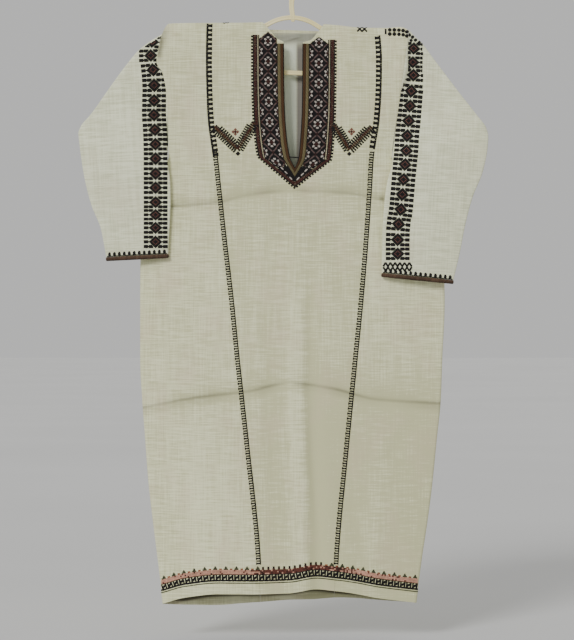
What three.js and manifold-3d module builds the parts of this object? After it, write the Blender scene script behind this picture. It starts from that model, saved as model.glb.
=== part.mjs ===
// A long folk shirt on a plain hanger, in millimetres, +Z up, its front facing -Y.
// The origin is where a rod carries the hook. Every cloth piece is a closed wall:
// the two centre lengths and the two side panels are sheets with two faces and an edge,
// the sleeves and their edgings are tubes of rings, open at both ends.
// "Left" and "right" are the viewer's, seen from the front.
import * as THREE from "three";
import Module from "manifold-3d";

// ---------------------------------------------------------------- driving dimensions
const CLOTH = 1.5; // thickness of the handwoven cloth
const SEAM = 0.3; // gap between two pieces that are sewn together
const SHOULDER_Z = -112; // nominal height of the shoulder line
const HEM_Z = -1274; // nominal height of the hem
const ARMHOLE_Z = -378; // bottom of both armholes
const HEM_TURN = 26; // height of the turned-up hem
const HEM_EXTRA = 0.9; // how much thicker the turned-up hem is
const SLIT_Z = -401; // bottom of the front slit
const BELLY = 2.4; // exponent of the body's cross-section: 2 is a parabola, more is flatter
const BRAID = { width: 13, thick: 1.2, overhang: 1 }; // braid round the slit
const EDGING = { tall: 8, proud: 1.1 }; // rolled edging of each cuff
const SLEEVE_EDGE = 2.6; // radius of the folds along both edges of a flat sleeve
const HANGER = { tall: 9, thick: 5, groove: 0.8, arch: 88, slope: 30, tilt: 2, top: -97.2, bar: -208 };
const HOOK = { tall: 11, thick: 6, inner: 16, stub: 5 };

// The shoulder line: how high the cloth stands above each x.
const SHOULDER = [
  { x: -268, z: -123 },
  { x: -257, z: -113 },
  { x: -248, z: -110 },
  { x: -220, z: -108.8 },
  { x: -168, z: -108.3 },
  { x: -106, z: -108 },
  { x: -61, z: -107 },
  { x: 62, z: -111 },
  { x: 94, z: -113.5 },
  { x: 130, z: -117.5 },
  { x: 188, z: -118.5 },
  { x: 214, z: -116.5 },
  { x: 228, z: -120.5 },
  { x: 237, z: -129 },
  { x: 244, z: -136 },
];

// The hem of the front and of the back: the front is drawn up in the middle.
const HEM = [
  { x: -262, front: -1273, back: -1274 },
  { x: -215, front: -1259, back: -1277 },
  { x: -148, front: -1251, back: -1279 },
  { x: -85, front: -1251, back: -1275 },
  { x: -10, front: -1249, back: -1270 },
  { x: 42, front: -1241, back: -1268 },
  { x: 89, front: -1245, back: -1264 },
  { x: 129, front: -1251, back: -1265 },
  { x: 168, front: -1259, back: -1268 },
  { x: 248, front: -1271, back: -1271 },
];

// The seams between the centre lengths and the side panels.
const SIDE_SEAM = [
  { z: -112, left: -168, right: 168 },
  { z: -184, left: -169, right: 173 },
  { z: -244, left: -168, right: 172 },
  { z: -304, left: -165, right: 168 },
  { z: -378, left: -155, right: 157 },
  { z: -444, left: -148, right: 153 },
  { z: -544, left: -137, right: 146 },
  { z: -664, left: -123, right: 136 },
  { z: -784, left: -111, right: 124 },
  { z: -964, left: -91, right: 106 },
  { z: -1184, left: -69, right: 86 },
  { z: -1274, left: -66, right: 83 },
];

// The outer edges of the side panels: the armhole edge down to ARMHOLE_Z, the folded side below.
const SIDE_EDGE = [
  { z: -112, left: -250, right: 229 },
  { z: -120, left: -258, right: 230 },
  { z: -140, left: -267, right: 231 },
  { z: -182, left: -273, right: 229 },
  { z: -206, left: -262, right: 226 },
  { z: -246, left: -254, right: 219 },
  { z: -318, left: -250, right: 204.8 },
  { z: -350, left: -249.3, right: 200.4 },
  { z: -378, left: -249.3, right: 198 },
  { z: -410, left: -268, right: 226 },
  { z: -450, left: -286, right: 258 },
  { z: -500, left: -299, right: 284 },
  { z: -560, left: -305, right: 299 },
  { z: -664, left: -306, right: 304 },
  { z: -784, left: -306, right: 299 },
  { z: -864, left: -302, right: 296 },
  { z: -944, left: -296, right: 288 },
  { z: -1024, left: -290, right: 280 },
  { z: -1104, left: -281, right: 270 },
  { z: -1184, left: -271, right: 258 },
  { z: -1274, left: -260, right: 246 },
];

// How far the middle of each wall stands from the mid-plane, by how far below the shoulder it is.
const MIDDLE_DEPTH = [
  { below: 0, depth: 0.62 },
  { below: 2, depth: 3.3 },
  { below: 5, depth: 5.4 },
  { below: 12, depth: 7.8 },
  { below: 30, depth: 10.5 },
  { below: 90, depth: 13 },
  { below: 200, depth: 16 },
  { below: 450, depth: 19 },
  { below: 800, depth: 23 },
  { below: 1170, depth: 29 },
];

// The same at the outer edges, by height: wide at the armhole, narrow along the folded side.
const EDGE_DEPTH = [
  { z: -100, left: 10, right: 1.6 },
  { z: -150, left: 10, right: 3 },
  { z: -182, left: 10, right: 5 },
  { z: -230, left: 10, right: 7 },
  { z: -300, left: 10, right: 7.5 },
  { z: -378, left: 8, right: 7 },
  { z: -420, left: 6, right: 6 },
  { z: -480, left: 4.5, right: 4.5 },
  { z: -1280, left: 4.5, right: 4.5 },
];

// The long soft folds that run down the body: where each starts and ends, how wide and how high.
const FRONT_FOLDS = [
  { fromX: 4, toX: 24, fromZ: -430, toZ: -1300, wide: 17, high: 5 },
  { fromX: 34, toX: 50, fromZ: -500, toZ: -1300, wide: 16, high: -4.5 },
  { fromX: -60, toX: -28, fromZ: -560, toZ: -1300, wide: 24, high: -2.5 },
  { fromX: 190, toX: 150, fromZ: -820, toZ: -1300, wide: 22, high: 2.2 },
  { fromX: -215, toX: -170, fromZ: -700, toZ: -1300, wide: 26, high: 2 },
];
const BACK_FOLDS = [
  { fromX: -20, toX: -8, fromZ: -300, toZ: -1300, wide: 20, high: 4 },
  { fromX: -100, toX: -112, fromZ: -600, toZ: -1300, wide: 16, high: 4 },
  { fromX: 70, toX: 78, fromZ: -560, toZ: -1300, wide: 18, high: -3.5 },
  { fromX: 150, toX: 170, fromZ: -760, toZ: -1300, wide: 20, high: 2.4 },
];

// The neck and the slit in the front: the free edges on both sides of it, down to its bottom.
const NECK_EDGE = [
  { z: -112, left: -61, right: 62 },
  { z: -130, left: -45, right: 49 },
  { z: -146, left: -30, right: 35 },
  { z: -151, left: -19, right: 20 },
  { z: -221, left: -18.5, right: 19.5 },
  { z: -285, left: -17, right: 18.5 },
  { z: -340, left: -13, right: 15.5 },
  { z: -378, left: -7, right: 12 },
  { z: -401, left: 0.5, right: 6 },
  { z: -440, left: -4, right: 11 },
  { z: -1274, left: -2, right: 17 },
];
const BACK_NECK_DIP = 17; // how far the back's neck lies below the line from corner to corner
const BACK_NECK_COLUMNS = [0.035, 0.13, 0.36, 0.64, 0.87, 0.965]; // the back's columns between its corners

// Heights of the rows of both centre lengths and both side panels.
const ROWS = [
  -112, -115, -120, -130, -146, -151, -182, -206, -246, -285, -318, -350, -378, -401, -440, -500, -560,
  -620, -690, -760, -830, -900, -970, -1040, -1100, -1160, -1210, -1247, -1250, -1274,
];

// Flat sections of each sleeve, from the armhole to the cuff. Each has the inner and the outer end of the
// flat tube seen from the front, where both ends stand in y, and half its thickness in the middle.
const LEFT_SLEEVE = [
  { inX: -250.5, inZ: -350, inY: 0, outX: -254, outZ: -126, outY: 0, half: 8 },
  { inX: -250.5, inZ: -353, inY: -1.5, outX: -266, outZ: -133, outY: 0, half: 7 },
  { inX: -250.6, inZ: -356, inY: -4, outX: -286, outZ: -145, outY: 0, half: 7 },
  { inX: -250.8, inZ: -360, inY: -7, outX: -308, outZ: -162, outY: -1, half: 7 },
  { inX: -251, inZ: -365, inY: -10, outX: -340, outZ: -201, outY: -3, half: 7 },
  { inX: -251.2, inZ: -371, inY: -13, outX: -372, outZ: -246, outY: -5, half: 7 },
  { inX: -251.2, inZ: -379, inY: -15.5, outX: -402, outZ: -289, outY: -7, half: 7 },
  { inX: -250.8, inZ: -389, inY: -17, outX: -424, outZ: -316, outY: -9, half: 7 },
  { inX: -249.5, inZ: -401, inY: -17.5, outX: -429, outZ: -331, outY: -10, half: 7 },
  { inX: -247, inZ: -416, inY: -18, outX: -427, outZ: -350, outY: -11, half: 7 },
  { inX: -245.5, inZ: -436, inY: -18, outX: -422, outZ: -388, outY: -12, half: 7 },
  { inX: -245, inZ: -462, inY: -18, outX: -414, outZ: -432, outY: -13, half: 6.5 },
  { inX: -246, inZ: -494, inY: -18, outX: -402, outZ: -476, outY: -13, half: 6.5 },
  { inX: -248, inZ: -530, inY: -18, outX: -384, outZ: -521, outY: -13, half: 6.5 },
  { inX: -250, inZ: -572, inY: -18, outX: -373, outZ: -578, outY: -13, half: 7 },
];
const RIGHT_SLEEVE = [
  { inX: 199.5, inZ: -362, inY: 0, outX: 233, outZ: -122, outY: 0, half: 11.5 },
  { inX: 199.5, inZ: -365, inY: -2.5, outX: 243, outZ: -134, outY: 0, half: 11 },
  { inX: 199.5, inZ: -369, inY: -5.5, outX: 258, outZ: -148, outY: 0, half: 9 },
  { inX: 199.5, inZ: -374, inY: -9, outX: 280, outZ: -178, outY: -2, half: 8 },
  { inX: 199.5, inZ: -380, inY: -12.5, outX: 308, outZ: -216, outY: -5, half: 7.5 },
  { inX: 199, inZ: -387, inY: -16, outX: 338, outZ: -256, outY: -8, half: 7 },
  { inX: 198.5, inZ: -395, inY: -19, outX: 366, outZ: -292, outY: -11, half: 7 },
  { inX: 195, inZ: -405, inY: -21.5, outX: 386, outZ: -320, outY: -13, half: 7 },
  { inX: 191, inZ: -418, inY: -23, outX: 390, outZ: -338, outY: -14, half: 7 },
  { inX: 187.5, inZ: -434, inY: -23.5, outX: 388, outZ: -364, outY: -15, half: 7 },
  { inX: 184, inZ: -458, inY: -24, outX: 378, outZ: -410, outY: -16, half: 7 },
  { inX: 181, inZ: -492, inY: -24, outX: 359, outZ: -457, outY: -17, half: 6.5 },
  { inX: 179, inZ: -530, inY: -24, outX: 344, outZ: -512, outY: -17, half: 6.5 },
  { inX: 178, inZ: -568, inY: -24, outX: 333, outZ: -568, outY: -17, half: 6.5 },
  { inX: 178, inZ: -610, inY: -24, outX: 320, outZ: -624, outY: -17, half: 7 },
];
const FLAT_STEPS = 9; // points across each face of a sleeve
const FOLD_STEPS = 3; // points round each folded edge

// ---------------------------------------------------------------- reading the tables
const mix = (a, b, share) => a + (b - a) * share;
const smooth = (value, low, high) => {
  const share = Math.min(1, Math.max(0, (value - low) / (high - low)));
  return share * share * (3 - 2 * share);
};

// A smooth curve through one column of a table, that never swings past its points.
function curve(table, key, column) {
  const rows = [...table].sort((a, b) => a[key] - b[key]);
  const rise = rows.slice(1).map((row, i) => (row[column] - rows[i][column]) / (row[key] - rows[i][key]));
  const slope = rows.map((row, i) => {
    if (i === 0) return rise[0];
    if (i === rows.length - 1) return rise[i - 1];
    return rise[i - 1] * rise[i] <= 0 ? 0 : (2 * rise[i - 1] * rise[i]) / (rise[i - 1] + rise[i]);
  });
  return (at) => {
    let i = 0;
    while (i < rows.length - 2 && at > rows[i + 1][key]) i++;
    const span = rows[i + 1][key] - rows[i][key];
    const t = Math.min(1, Math.max(0, (at - rows[i][key]) / span));
    const start = (1 + 2 * t) * (1 - t) ** 2;
    const end = t * t * (3 - 2 * t);
    const bend = t * (1 - t) ** 2 * slope[i] - t * t * (1 - t) * slope[i + 1];
    return start * rows[i][column] + end * rows[i + 1][column] + bend * span;
  };
}

const shoulderAt = curve(SHOULDER, "x", "z");
const hemAt = { front: curve(HEM, "x", "front"), back: curve(HEM, "x", "back") };
const seamAt = { left: curve(SIDE_SEAM, "z", "left"), right: curve(SIDE_SEAM, "z", "right") };
const edgeAt = { left: curve(SIDE_EDGE, "z", "left"), right: curve(SIDE_EDGE, "z", "right") };
const neckAt = { left: curve(NECK_EDGE, "z", "left"), right: curve(NECK_EDGE, "z", "right") };
const edgeDepthAt = { left: curve(EDGE_DEPTH, "z", "left"), right: curve(EDGE_DEPTH, "z", "right") };
const middleDepthAt = curve(MIDDLE_DEPTH, "below", "depth");

// ---------------------------------------------------------------- the body's surface
// How far the folds lift a wall away from the mid-plane at (x, z).
function foldsAt(folds, x, z) {
  return folds.reduce((sum, fold) => {
    const share = (z - fold.fromZ) / (fold.toZ - fold.fromZ);
    if (share <= 0) return sum;
    const off = (x - mix(fold.fromX, fold.toX, share)) / (fold.wide * mix(0.75, 1.25, share));
    return sum + fold.high * smooth(share, 0, 0.75) * Math.exp(-off * off);
  }, 0);
}

// How far a wall stands from the mid-plane at (x, z), before any edge is rounded.
function wallDepth(face, x, z) {
  const side = x < (edgeAt.left(z) + edgeAt.right(z)) / 2 ? "left" : "right";
  const middle = (edgeAt.left(z) + edgeAt.right(z)) / 2;
  const most = middleDepthAt(shoulderAt(x) - z);
  const least = Math.min(edgeDepthAt[side](z), most);
  const reach = Math.abs(edgeAt[side](z) - middle) - (z < ARMHOLE_Z ? least : 0);
  const share = Math.min(1, Math.abs(x - middle) / reach);
  const folds = foldsAt(face === "front" ? FRONT_FOLDS : BACK_FOLDS, x, z);
  return least + (most - least) * (1 - share ** BELLY) + folds * (1 - share ** 6);
}

// The height of nominal row z0 at x, drawn to the shoulder line at the top and to the hem at the bottom.
function rowHeight(face, x, z0) {
  const top = shoulderAt(x) - SHOULDER_Z;
  const bottom = hemAt[face](x) - HEM_Z;
  return z0 + top * (1 - smooth(-z0, -SHOULDER_Z, 260)) + bottom * smooth(-z0, 760, -HEM_Z);
}

function bodyPoint(face, x, z0) {
  const z = rowHeight(face, x, z0);
  return new THREE.Vector3(x, wallDepth(face, x, z) * (face === "front" ? -1 : 1), z);
}

// The outward normal of a body wall at (x, z0).
function bodyNormal(face, x, z0) {
  const step = 1.5;
  const across = bodyPoint(face, x + step, z0).sub(bodyPoint(face, x - step, z0));
  const above = bodyPoint(face, x, Math.min(z0 + step, SHOULDER_Z));
  const down = bodyPoint(face, x, Math.max(z0 - step, HEM_Z)).sub(above);
  return down.cross(across).normalize().multiplyScalar(face === "front" ? 1 : -1);
}

// ---------------------------------------------------------------- turning points into closed meshes
function meshOf(points, faces) {
  const geometry = new THREE.BufferGeometry();
  const numbers = points.flatMap((p) => [p.x, p.y, p.z]);
  geometry.setAttribute("position", new THREE.Float32BufferAttribute(numbers, 3));
  geometry.setIndex(faces.flat());
  return geometry;
}

// A sheet with two faces and an edge. rows[j][i] is { at, out, extra }: a point midway through the wall,
// its outward normal and how much thicker the wall is there on the outside. has(i, j) says whether the
// cell below and right of that point is cloth.
function sheet(rows, thick, has = () => true) {
  const wide = rows[0].length;
  const points = [];
  for (const sign of [1, -1]) {
    for (const { at, out, extra = 0 } of rows.flat()) {
      points.push(at.clone().addScaledVector(out, sign * (thick / 2) + (sign > 0 ? extra : 0)));
    }
  }
  const far = rows.length * wide;
  const index = (i, j) => j * wide + i;
  const cloth = (i, j) => i >= 0 && j >= 0 && i < wide - 1 && j < rows.length - 1 && has(i, j);
  const faces = [];
  const quad = (a, b, c, d) => faces.push([a, b, c], [a, c, d]);
  for (let j = 0; j < rows.length - 1; j++) {
    for (let i = 0; i < wide - 1; i++) {
      if (!cloth(i, j)) continue;
      const [a, b, c, d] = [index(i, j), index(i, j + 1), index(i + 1, j + 1), index(i + 1, j)];
      quad(a, b, c, d);
      quad(far + a, far + d, far + c, far + b);
      if (!cloth(i - 1, j)) quad(a, far + a, far + b, b);
      if (!cloth(i + 1, j)) quad(c, far + c, far + d, d);
      if (!cloth(i, j - 1)) quad(d, far + d, far + a, a);
      if (!cloth(i, j + 1)) quad(b, far + b, far + c, c);
    }
  }
  return used(points, faces);
}

// Leaves out the points that no face uses.
function used(points, faces) {
  const order = [...new Set(faces.flat())];
  const place = new Map(order.map((old, now) => [old, now]));
  return meshOf(order.map((old) => points[old]), faces.map((face) => face.map((old) => place.get(old))));
}

// A tube's wall from matching rings, each { outer: [points], inner: [points] }.
function tube(rings) {
  const count = rings[0].outer.length;
  const points = rings.flatMap((ring) => [...ring.outer, ...ring.inner]);
  const index = (ring, inner, i) => ring * 2 * count + (inner ? count : 0) + (i % count);
  const faces = [];
  const quad = (a, b, c, d) => faces.push([a, b, c], [a, c, d]);
  for (let i = 0; i < count; i++) {
    for (let k = 0; k < rings.length - 1; k++) {
      quad(index(k, 0, i), index(k + 1, 0, i), index(k + 1, 0, i + 1), index(k, 0, i + 1));
      quad(index(k, 1, i), index(k, 1, i + 1), index(k + 1, 1, i + 1), index(k + 1, 1, i));
    }
    const last = rings.length - 1;
    quad(index(0, 0, i), index(0, 0, i + 1), index(0, 1, i + 1), index(0, 1, i));
    quad(index(last, 0, i), index(last, 1, i), index(last, 1, i + 1), index(last, 0, i + 1));
  }
  return meshOf(points, faces);
}

// ---------------------------------------------------------------- the centre lengths
const hemExtra = (z0) => (z0 < HEM_Z + HEM_TURN ? HEM_EXTRA : 0);

function bodyCell(face, x, z0) {
  return { at: bodyPoint(face, x, z0), out: bodyNormal(face, x, z0), extra: hemExtra(z0) };
}

const spread = (from, to, steps) => Array.from({ length: steps + 1 }, (_, i) => mix(from, to, i / steps));

// The front: two halves of columns, with the slit's free edges between them down to its bottom.
function front() {
  const half = 7;
  const rows = ROWS.map((z0) => {
    const left = spread(seamAt.left(z0) + SEAM / 2, neckAt.left(z0), half);
    const right = spread(neckAt.right(z0), seamAt.right(z0) - SEAM / 2, half);
    return [...left, ...right].map((x) => bodyCell("front", x, z0));
  });
  const slitRow = ROWS.indexOf(SLIT_Z);
  return sheet(rows, CLOTH, (i, j) => i !== half || j >= slitRow);
}

// The back: its columns between the neck's corners start lower, at the back of the neck.
function back() {
  const rows = ROWS.map((z0) => {
    const [cornerLeft, cornerRight] = [NECK_EDGE[0].left, NECK_EDGE[0].right];
    const fade = smooth(-z0, -SHOULDER_Z, 700);
    const left = mix(cornerLeft, mix(seamAt.left(z0), seamAt.right(z0), 0.33), fade);
    const right = mix(cornerRight, mix(seamAt.left(z0), seamAt.right(z0), 0.67), fade);
    const columns = [
      ...spread(seamAt.left(z0) + SEAM / 2, left, 4),
      ...BACK_NECK_COLUMNS.map((share) => mix(left, right, share)),
      ...spread(right, seamAt.right(z0) - SEAM / 2, 4),
    ];
    return columns.map((x) => {
      const share = Math.min(1, Math.max(0, (x - cornerLeft) / (cornerRight - cornerLeft)));
      const scoop = Math.min(1, 3.2 * Math.sin(Math.PI * share) ** 0.8);
      const dip = share > 0 && share < 1 ? BACK_NECK_DIP * scoop : 0;
      return bodyCell("back", x, z0 - dip * (1 - smooth(-z0, -SHOULDER_Z, 190)));
    });
  });
  // The back is seen from behind, so its columns run the other way round.
  return sheet(rows.map((row) => row.reverse()), CLOTH);
}

// ---------------------------------------------------------------- the side panels
// From the front seam round the folded side to the back seam. Above ARMHOLE_Z the fold is cut out:
// that is the armhole.
function sidePanel(side) {
  const sign = side === "left" ? -1 : 1;
  const flat = 5;
  const fold = 4;
  const rows = ROWS.map((z0) => {
    const z = rowHeight("front", edgeAt[side](z0), z0);
    const round = Math.min(edgeDepthAt[side](z), middleDepthAt(shoulderAt(edgeAt[side](z0)) - z));
    const end = edgeAt[side](z0) - sign * (z0 < ARMHOLE_Z ? round : 0);
    const seam = seamAt[side](z0) + (sign * SEAM) / 2;
    const faceCells = (face) => spread(seam, end, flat).map((x) => bodyCell(face, x, z0));
    const [frontCells, backCells] = [faceCells("front"), faceCells("back").reverse()];
    const [from, to] = [frontCells.at(-1).at, backCells[0].at];
    const foldCells = spread(0, Math.PI, fold).slice(1, -1).map((turn) => {
      const out = new THREE.Vector3(sign * Math.sin(turn), -Math.cos(turn), 0);
      const radius = (to.y - from.y) / 2;
      const at = new THREE.Vector3(end, (from.y + to.y) / 2, mix(from.z, to.z, turn / Math.PI));
      return { at: at.addScaledVector(out, radius), out, extra: hemExtra(z0) };
    });
    const row = [...frontCells, ...foldCells, ...backCells];
    return side === "left" ? row.reverse() : row;
  });
  const armholeRow = ROWS.indexOf(ARMHOLE_Z);
  const inFold = (i) => i >= flat && i < flat + fold;
  return sheet(rows, CLOTH, (i, j) => j >= armholeRow || !inFold(i));
}

// ---------------------------------------------------------------- the sleeves
// One ring of a flat sleeve: both faces bulge from fold to fold, and each fold is a half circle.
// grow moves the ring outwards, and drop moves it along the sleeve.
function sleeveRing(section, way, grow, drop) {
  const inner = new THREE.Vector3(section.inX, section.inY, section.inZ);
  const outer = new THREE.Vector3(section.outX, section.outY, section.outZ);
  const along = outer.clone().sub(inner).normalize();
  const face = new THREE.Vector3(0, -1, 0).addScaledVector(along, along.y).normalize();
  const down = new THREE.Vector3().crossVectors(along, face).multiplyScalar(way);
  const round = SLEEVE_EDGE + grow;
  const [start, length] = [SLEEVE_EDGE, outer.distanceTo(inner) - 2 * SLEEVE_EDGE];
  const place = (distance, lift) =>
    inner.clone().addScaledVector(along, distance).addScaledVector(face, lift).addScaledVector(down, drop);
  const bulge = (share) => round + (section.half - SLEEVE_EDGE) * (1 - Math.abs(2 * share - 1) ** BELLY);
  const points = [];
  for (const share of spread(0, 1, FLAT_STEPS)) points.push(place(start + share * length, bulge(share)));
  for (const turn of spread(0, Math.PI, FOLD_STEPS + 1).slice(1, -1))
    points.push(place(start + length + round * Math.sin(turn), round * Math.cos(turn)));
  for (const share of spread(1, 0, FLAT_STEPS)) points.push(place(start + share * length, -bulge(share)));
  for (const turn of spread(Math.PI, 0, FOLD_STEPS + 1).slice(1, -1))
    points.push(place(start - round * Math.sin(turn), round * Math.cos(turn)));
  return way > 0 ? points : points.reverse();
}

function sleeve(sections, way) {
  return tube(
    sections.map((section) => ({
      outer: sleeveRing(section, way, CLOTH / 2, 0),
      inner: sleeveRing(section, way, -CLOTH / 2, 0),
    })),
  );
}

// The rolled edging continues the cuff: its section is rounded and a little thicker than the cloth.
function cuffEdging(sections, way) {
  const cuff = sections.at(-1);
  const thick = CLOTH / 2 + EDGING.proud;
  const ring = (drop, share) => ({
    outer: sleeveRing(cuff, way, thick * share, drop),
    inner: sleeveRing(cuff, way, -thick * share, drop),
  });
  const rolls = [
    { drop: SEAM, share: 0.55 },
    { drop: SEAM + 0.2 * EDGING.tall, share: 1 },
    { drop: SEAM + 0.75 * EDGING.tall, share: 1 },
    { drop: SEAM + EDGING.tall, share: 0.5 },
  ];
  return tube(rolls.map(({ drop, share }) => ring(drop, share)));
}

// ---------------------------------------------------------------- the braid round the slit
// It lies on the front's outer face, from the neck down one edge of the slit and up the other.
function slitBraid() {
  const heights = ROWS.filter((z0) => z0 <= -151 && z0 > SLIT_Z);
  const path = [
    ...heights.map((z0) => ({ x: neckAt.left(z0), z0 })),
    { x: (neckAt.left(SLIT_Z) + neckAt.right(SLIT_Z)) / 2, z0: SLIT_Z },
    ...heights.toReversed().map((z0) => ({ x: neckAt.right(z0), z0 })),
  ];
  const rows = path.map((point, k) => {
    const [before, after] = [path[Math.max(k - 1, 0)], path[Math.min(k + 1, path.length - 1)]];
    const ahead = new THREE.Vector2(after.x - before.x, after.z0 - before.z0).normalize();
    const outward = new THREE.Vector2(ahead.y, -ahead.x);
    return spread(BRAID.width - BRAID.overhang, -BRAID.overhang, 3).map((off) => {
      const [x, z0] = [point.x + outward.x * off, point.z0 + outward.y * off];
      const out = bodyNormal("front", x, z0);
      const lift = CLOTH / 2 + SEAM + BRAID.thick / 2;
      return { at: bodyPoint("front", x, z0).addScaledVector(out, lift), out };
    });
  });
  return sheet(rows, BRAID.thick);
}

// ---------------------------------------------------------------- the hanger
// The hanger's section: a tall bar with a shallow groove in its front and its back face.
function barSection({ tall, thick, groove = 0 }) {
  const [h, t, cut] = [tall / 2, thick / 2, 0.28 * tall];
  const front = [
    [-h, -t * 0.55],
    [-h, t * 0.55],
    [-h * 0.82, t],
    [-cut, t],
    [-cut * 0.7, t - groove],
    [cut * 0.7, t - groove],
    [cut, t],
    [h * 0.82, t],
  ];
  return [...front, ...front.map(([up, out]) => [-up, -out])];
}

// Carries a section along a path in the XZ plane. A closed path has no ends.
function sweep(path, section, closed) {
  const count = section.length;
  const points = path.flatMap((point, k) => {
    const before = path[closed ? (k + path.length - 1) % path.length : Math.max(k - 1, 0)];
    const after = path[closed ? (k + 1) % path.length : Math.min(k + 1, path.length - 1)];
    const ahead = after.clone().sub(before).normalize();
    return section.map(
      ([up, out]) => new THREE.Vector3(point.x - ahead.y * up, out, point.y + ahead.x * up),
    );
  });
  const faces = [];
  const last = closed ? path.length : path.length - 1;
  for (let k = 0; k < last; k++) {
    const [here, next] = [k * count, ((k + 1) % path.length) * count];
    for (let i = 0; i < count; i++) {
      const j = (i + 1) % count;
      faces.push([here + i, here + j, next + j], [here + i, next + j, next + i]);
    }
  }
  if (!closed) {
    const end = (path.length - 1) * count;
    const outline = section.map(([up, out]) => new THREE.Vector2(up, out));
    for (const [a, b, c] of THREE.ShapeUtils.triangulateShape(outline, [])) {
      faces.push([a, b, c], [end + c, end + b, end + a]);
    }
  }
  return meshOf(points, faces);
}

const arc = (centre, radius, from, to, steps) =>
  spread(from, to, steps).map(
    (turn) => new THREE.Vector2(centre.x + radius * Math.cos(turn), centre.y + radius * Math.sin(turn)),
  );

// The frame: an arch over the neck, two sloping arms and a bar below, in one loop about the arch's top.
function hangerFramePath() {
  const slope = THREE.MathUtils.degToRad(HANGER.slope);
  const corner = 14;
  const drop = HANGER.top - HANGER.bar;
  const archEnd = new THREE.Vector2(Math.sin(slope), Math.cos(slope)).multiplyScalar(HANGER.arch);
  archEnd.y -= HANGER.arch;
  const cornerY = -drop + corner;
  const armEndY = cornerY + corner * Math.cos(slope);
  const armEndX = archEnd.x + (archEnd.y - armEndY) / Math.tan(slope);
  const cornerX = armEndX - corner * Math.sin(slope);
  const half = [
    ...arc(new THREE.Vector2(0, -HANGER.arch), HANGER.arch, Math.PI / 2, Math.PI / 2 - slope, 7),
    new THREE.Vector2(mix(archEnd.x, armEndX, 0.5), mix(archEnd.y, armEndY, 0.5)),
    ...arc(new THREE.Vector2(cornerX, cornerY), corner, Math.PI / 2 - slope, -Math.PI / 2, 6),
    new THREE.Vector2(cornerX / 2, -drop),
  ];
  const mirrored = half.slice(1).map((p) => new THREE.Vector2(-p.x, p.y)).reverse();
  const tilt = THREE.MathUtils.degToRad(-HANGER.tilt);
  return [...half, new THREE.Vector2(0, -drop), ...mirrored].map((p) => {
    const turned = p.clone().rotateAround(new THREE.Vector2(0, 0), tilt);
    return new THREE.Vector2(turned.x, turned.y + HANGER.top);
  });
}

// The hook: up from the arch, a small bend to the right, then round over the rod to its open end.
function hookPath() {
  const radius = HOOK.inner + HOOK.tall / 2;
  const stem = [
    { x: 0, z: HANGER.top - HANGER.tall / 2 - HOOK.stub },
    { x: -2, z: HANGER.top + 12 },
    { x: -3, z: HANGER.top + 28 },
    { x: -1.5, z: HANGER.top + 42 },
    { x: 3, z: HANGER.top + 52 },
  ];
  return [
    ...stem.map(({ x, z }) => new THREE.Vector2(x, z)),
    ...arc(new THREE.Vector2(0, -HOOK.inner), radius, -Math.PI * 0.33, Math.PI * 1.08, 16),
  ];
}

function toManifold(wasm, geometry) {
  return new wasm.Manifold(
    new wasm.Mesh({
      numProp: 3,
      vertProperties: new Float32Array(geometry.attributes.position.array),
      triVerts: new Uint32Array(geometry.index.array),
    }),
  );
}

async function hanger() {
  const wasm = await Module();
  wasm.setup();
  const frame = toManifold(wasm, sweep(hangerFramePath(), barSection(HANGER), true));
  const hook = toManifold(wasm, sweep(hookPath(), barSection(HOOK), false));
  const joined = frame.add(hook).getMesh();
  const geometry = new THREE.BufferGeometry();
  geometry.setAttribute("position", new THREE.BufferAttribute(new Float32Array(joined.vertProperties), 3));
  geometry.setIndex(new THREE.BufferAttribute(new Uint32Array(joined.triVerts), 1));
  return geometry;
}

// ---------------------------------------------------------------- the whole
const LINEN = { color: 0xd8d4bd, roughness: 0.92, metalness: 0 };
const TRIM = { color: 0x4a2c1d, roughness: 0.85, metalness: 0 };
const BRAID_COLOUR = { color: 0x6b5326, roughness: 0.8, metalness: 0 };
const PLASTIC = { color: 0xe6dcc0, roughness: 0.45, metalness: 0 };

const shirt = new THREE.Group();
function add(name, geometry, look) {
  const mesh = new THREE.Mesh(geometry, new THREE.MeshStandardMaterial(look));
  mesh.name = name;
  shirt.add(mesh);
}

add("front", front(), LINEN);
add("back", back(), LINEN);
add("side_left", sidePanel("left"), LINEN);
add("side_right", sidePanel("right"), LINEN);
add("sleeve_left", sleeve(LEFT_SLEEVE, -1), LINEN);
add("sleeve_right", sleeve(RIGHT_SLEEVE, 1), LINEN);
add("cuff_edging_left", cuffEdging(LEFT_SLEEVE, -1), TRIM);
add("cuff_edging_right", cuffEdging(RIGHT_SLEEVE, 1), TRIM);
add("slit_braid", slitBraid(), BRAID_COLOUR);
add("hanger", await hanger(), PLASTIC);

export default shirt;
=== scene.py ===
"""Looks of a folk shirt on a hanger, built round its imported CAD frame. A Blender 4.5 script.

Lengths are millimetres until a mesh is made. X is to the viewer's right, Z is up, the front faces -Y,
and the origin is where the hanger's hook bears on its rod.
"""

import math

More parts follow.
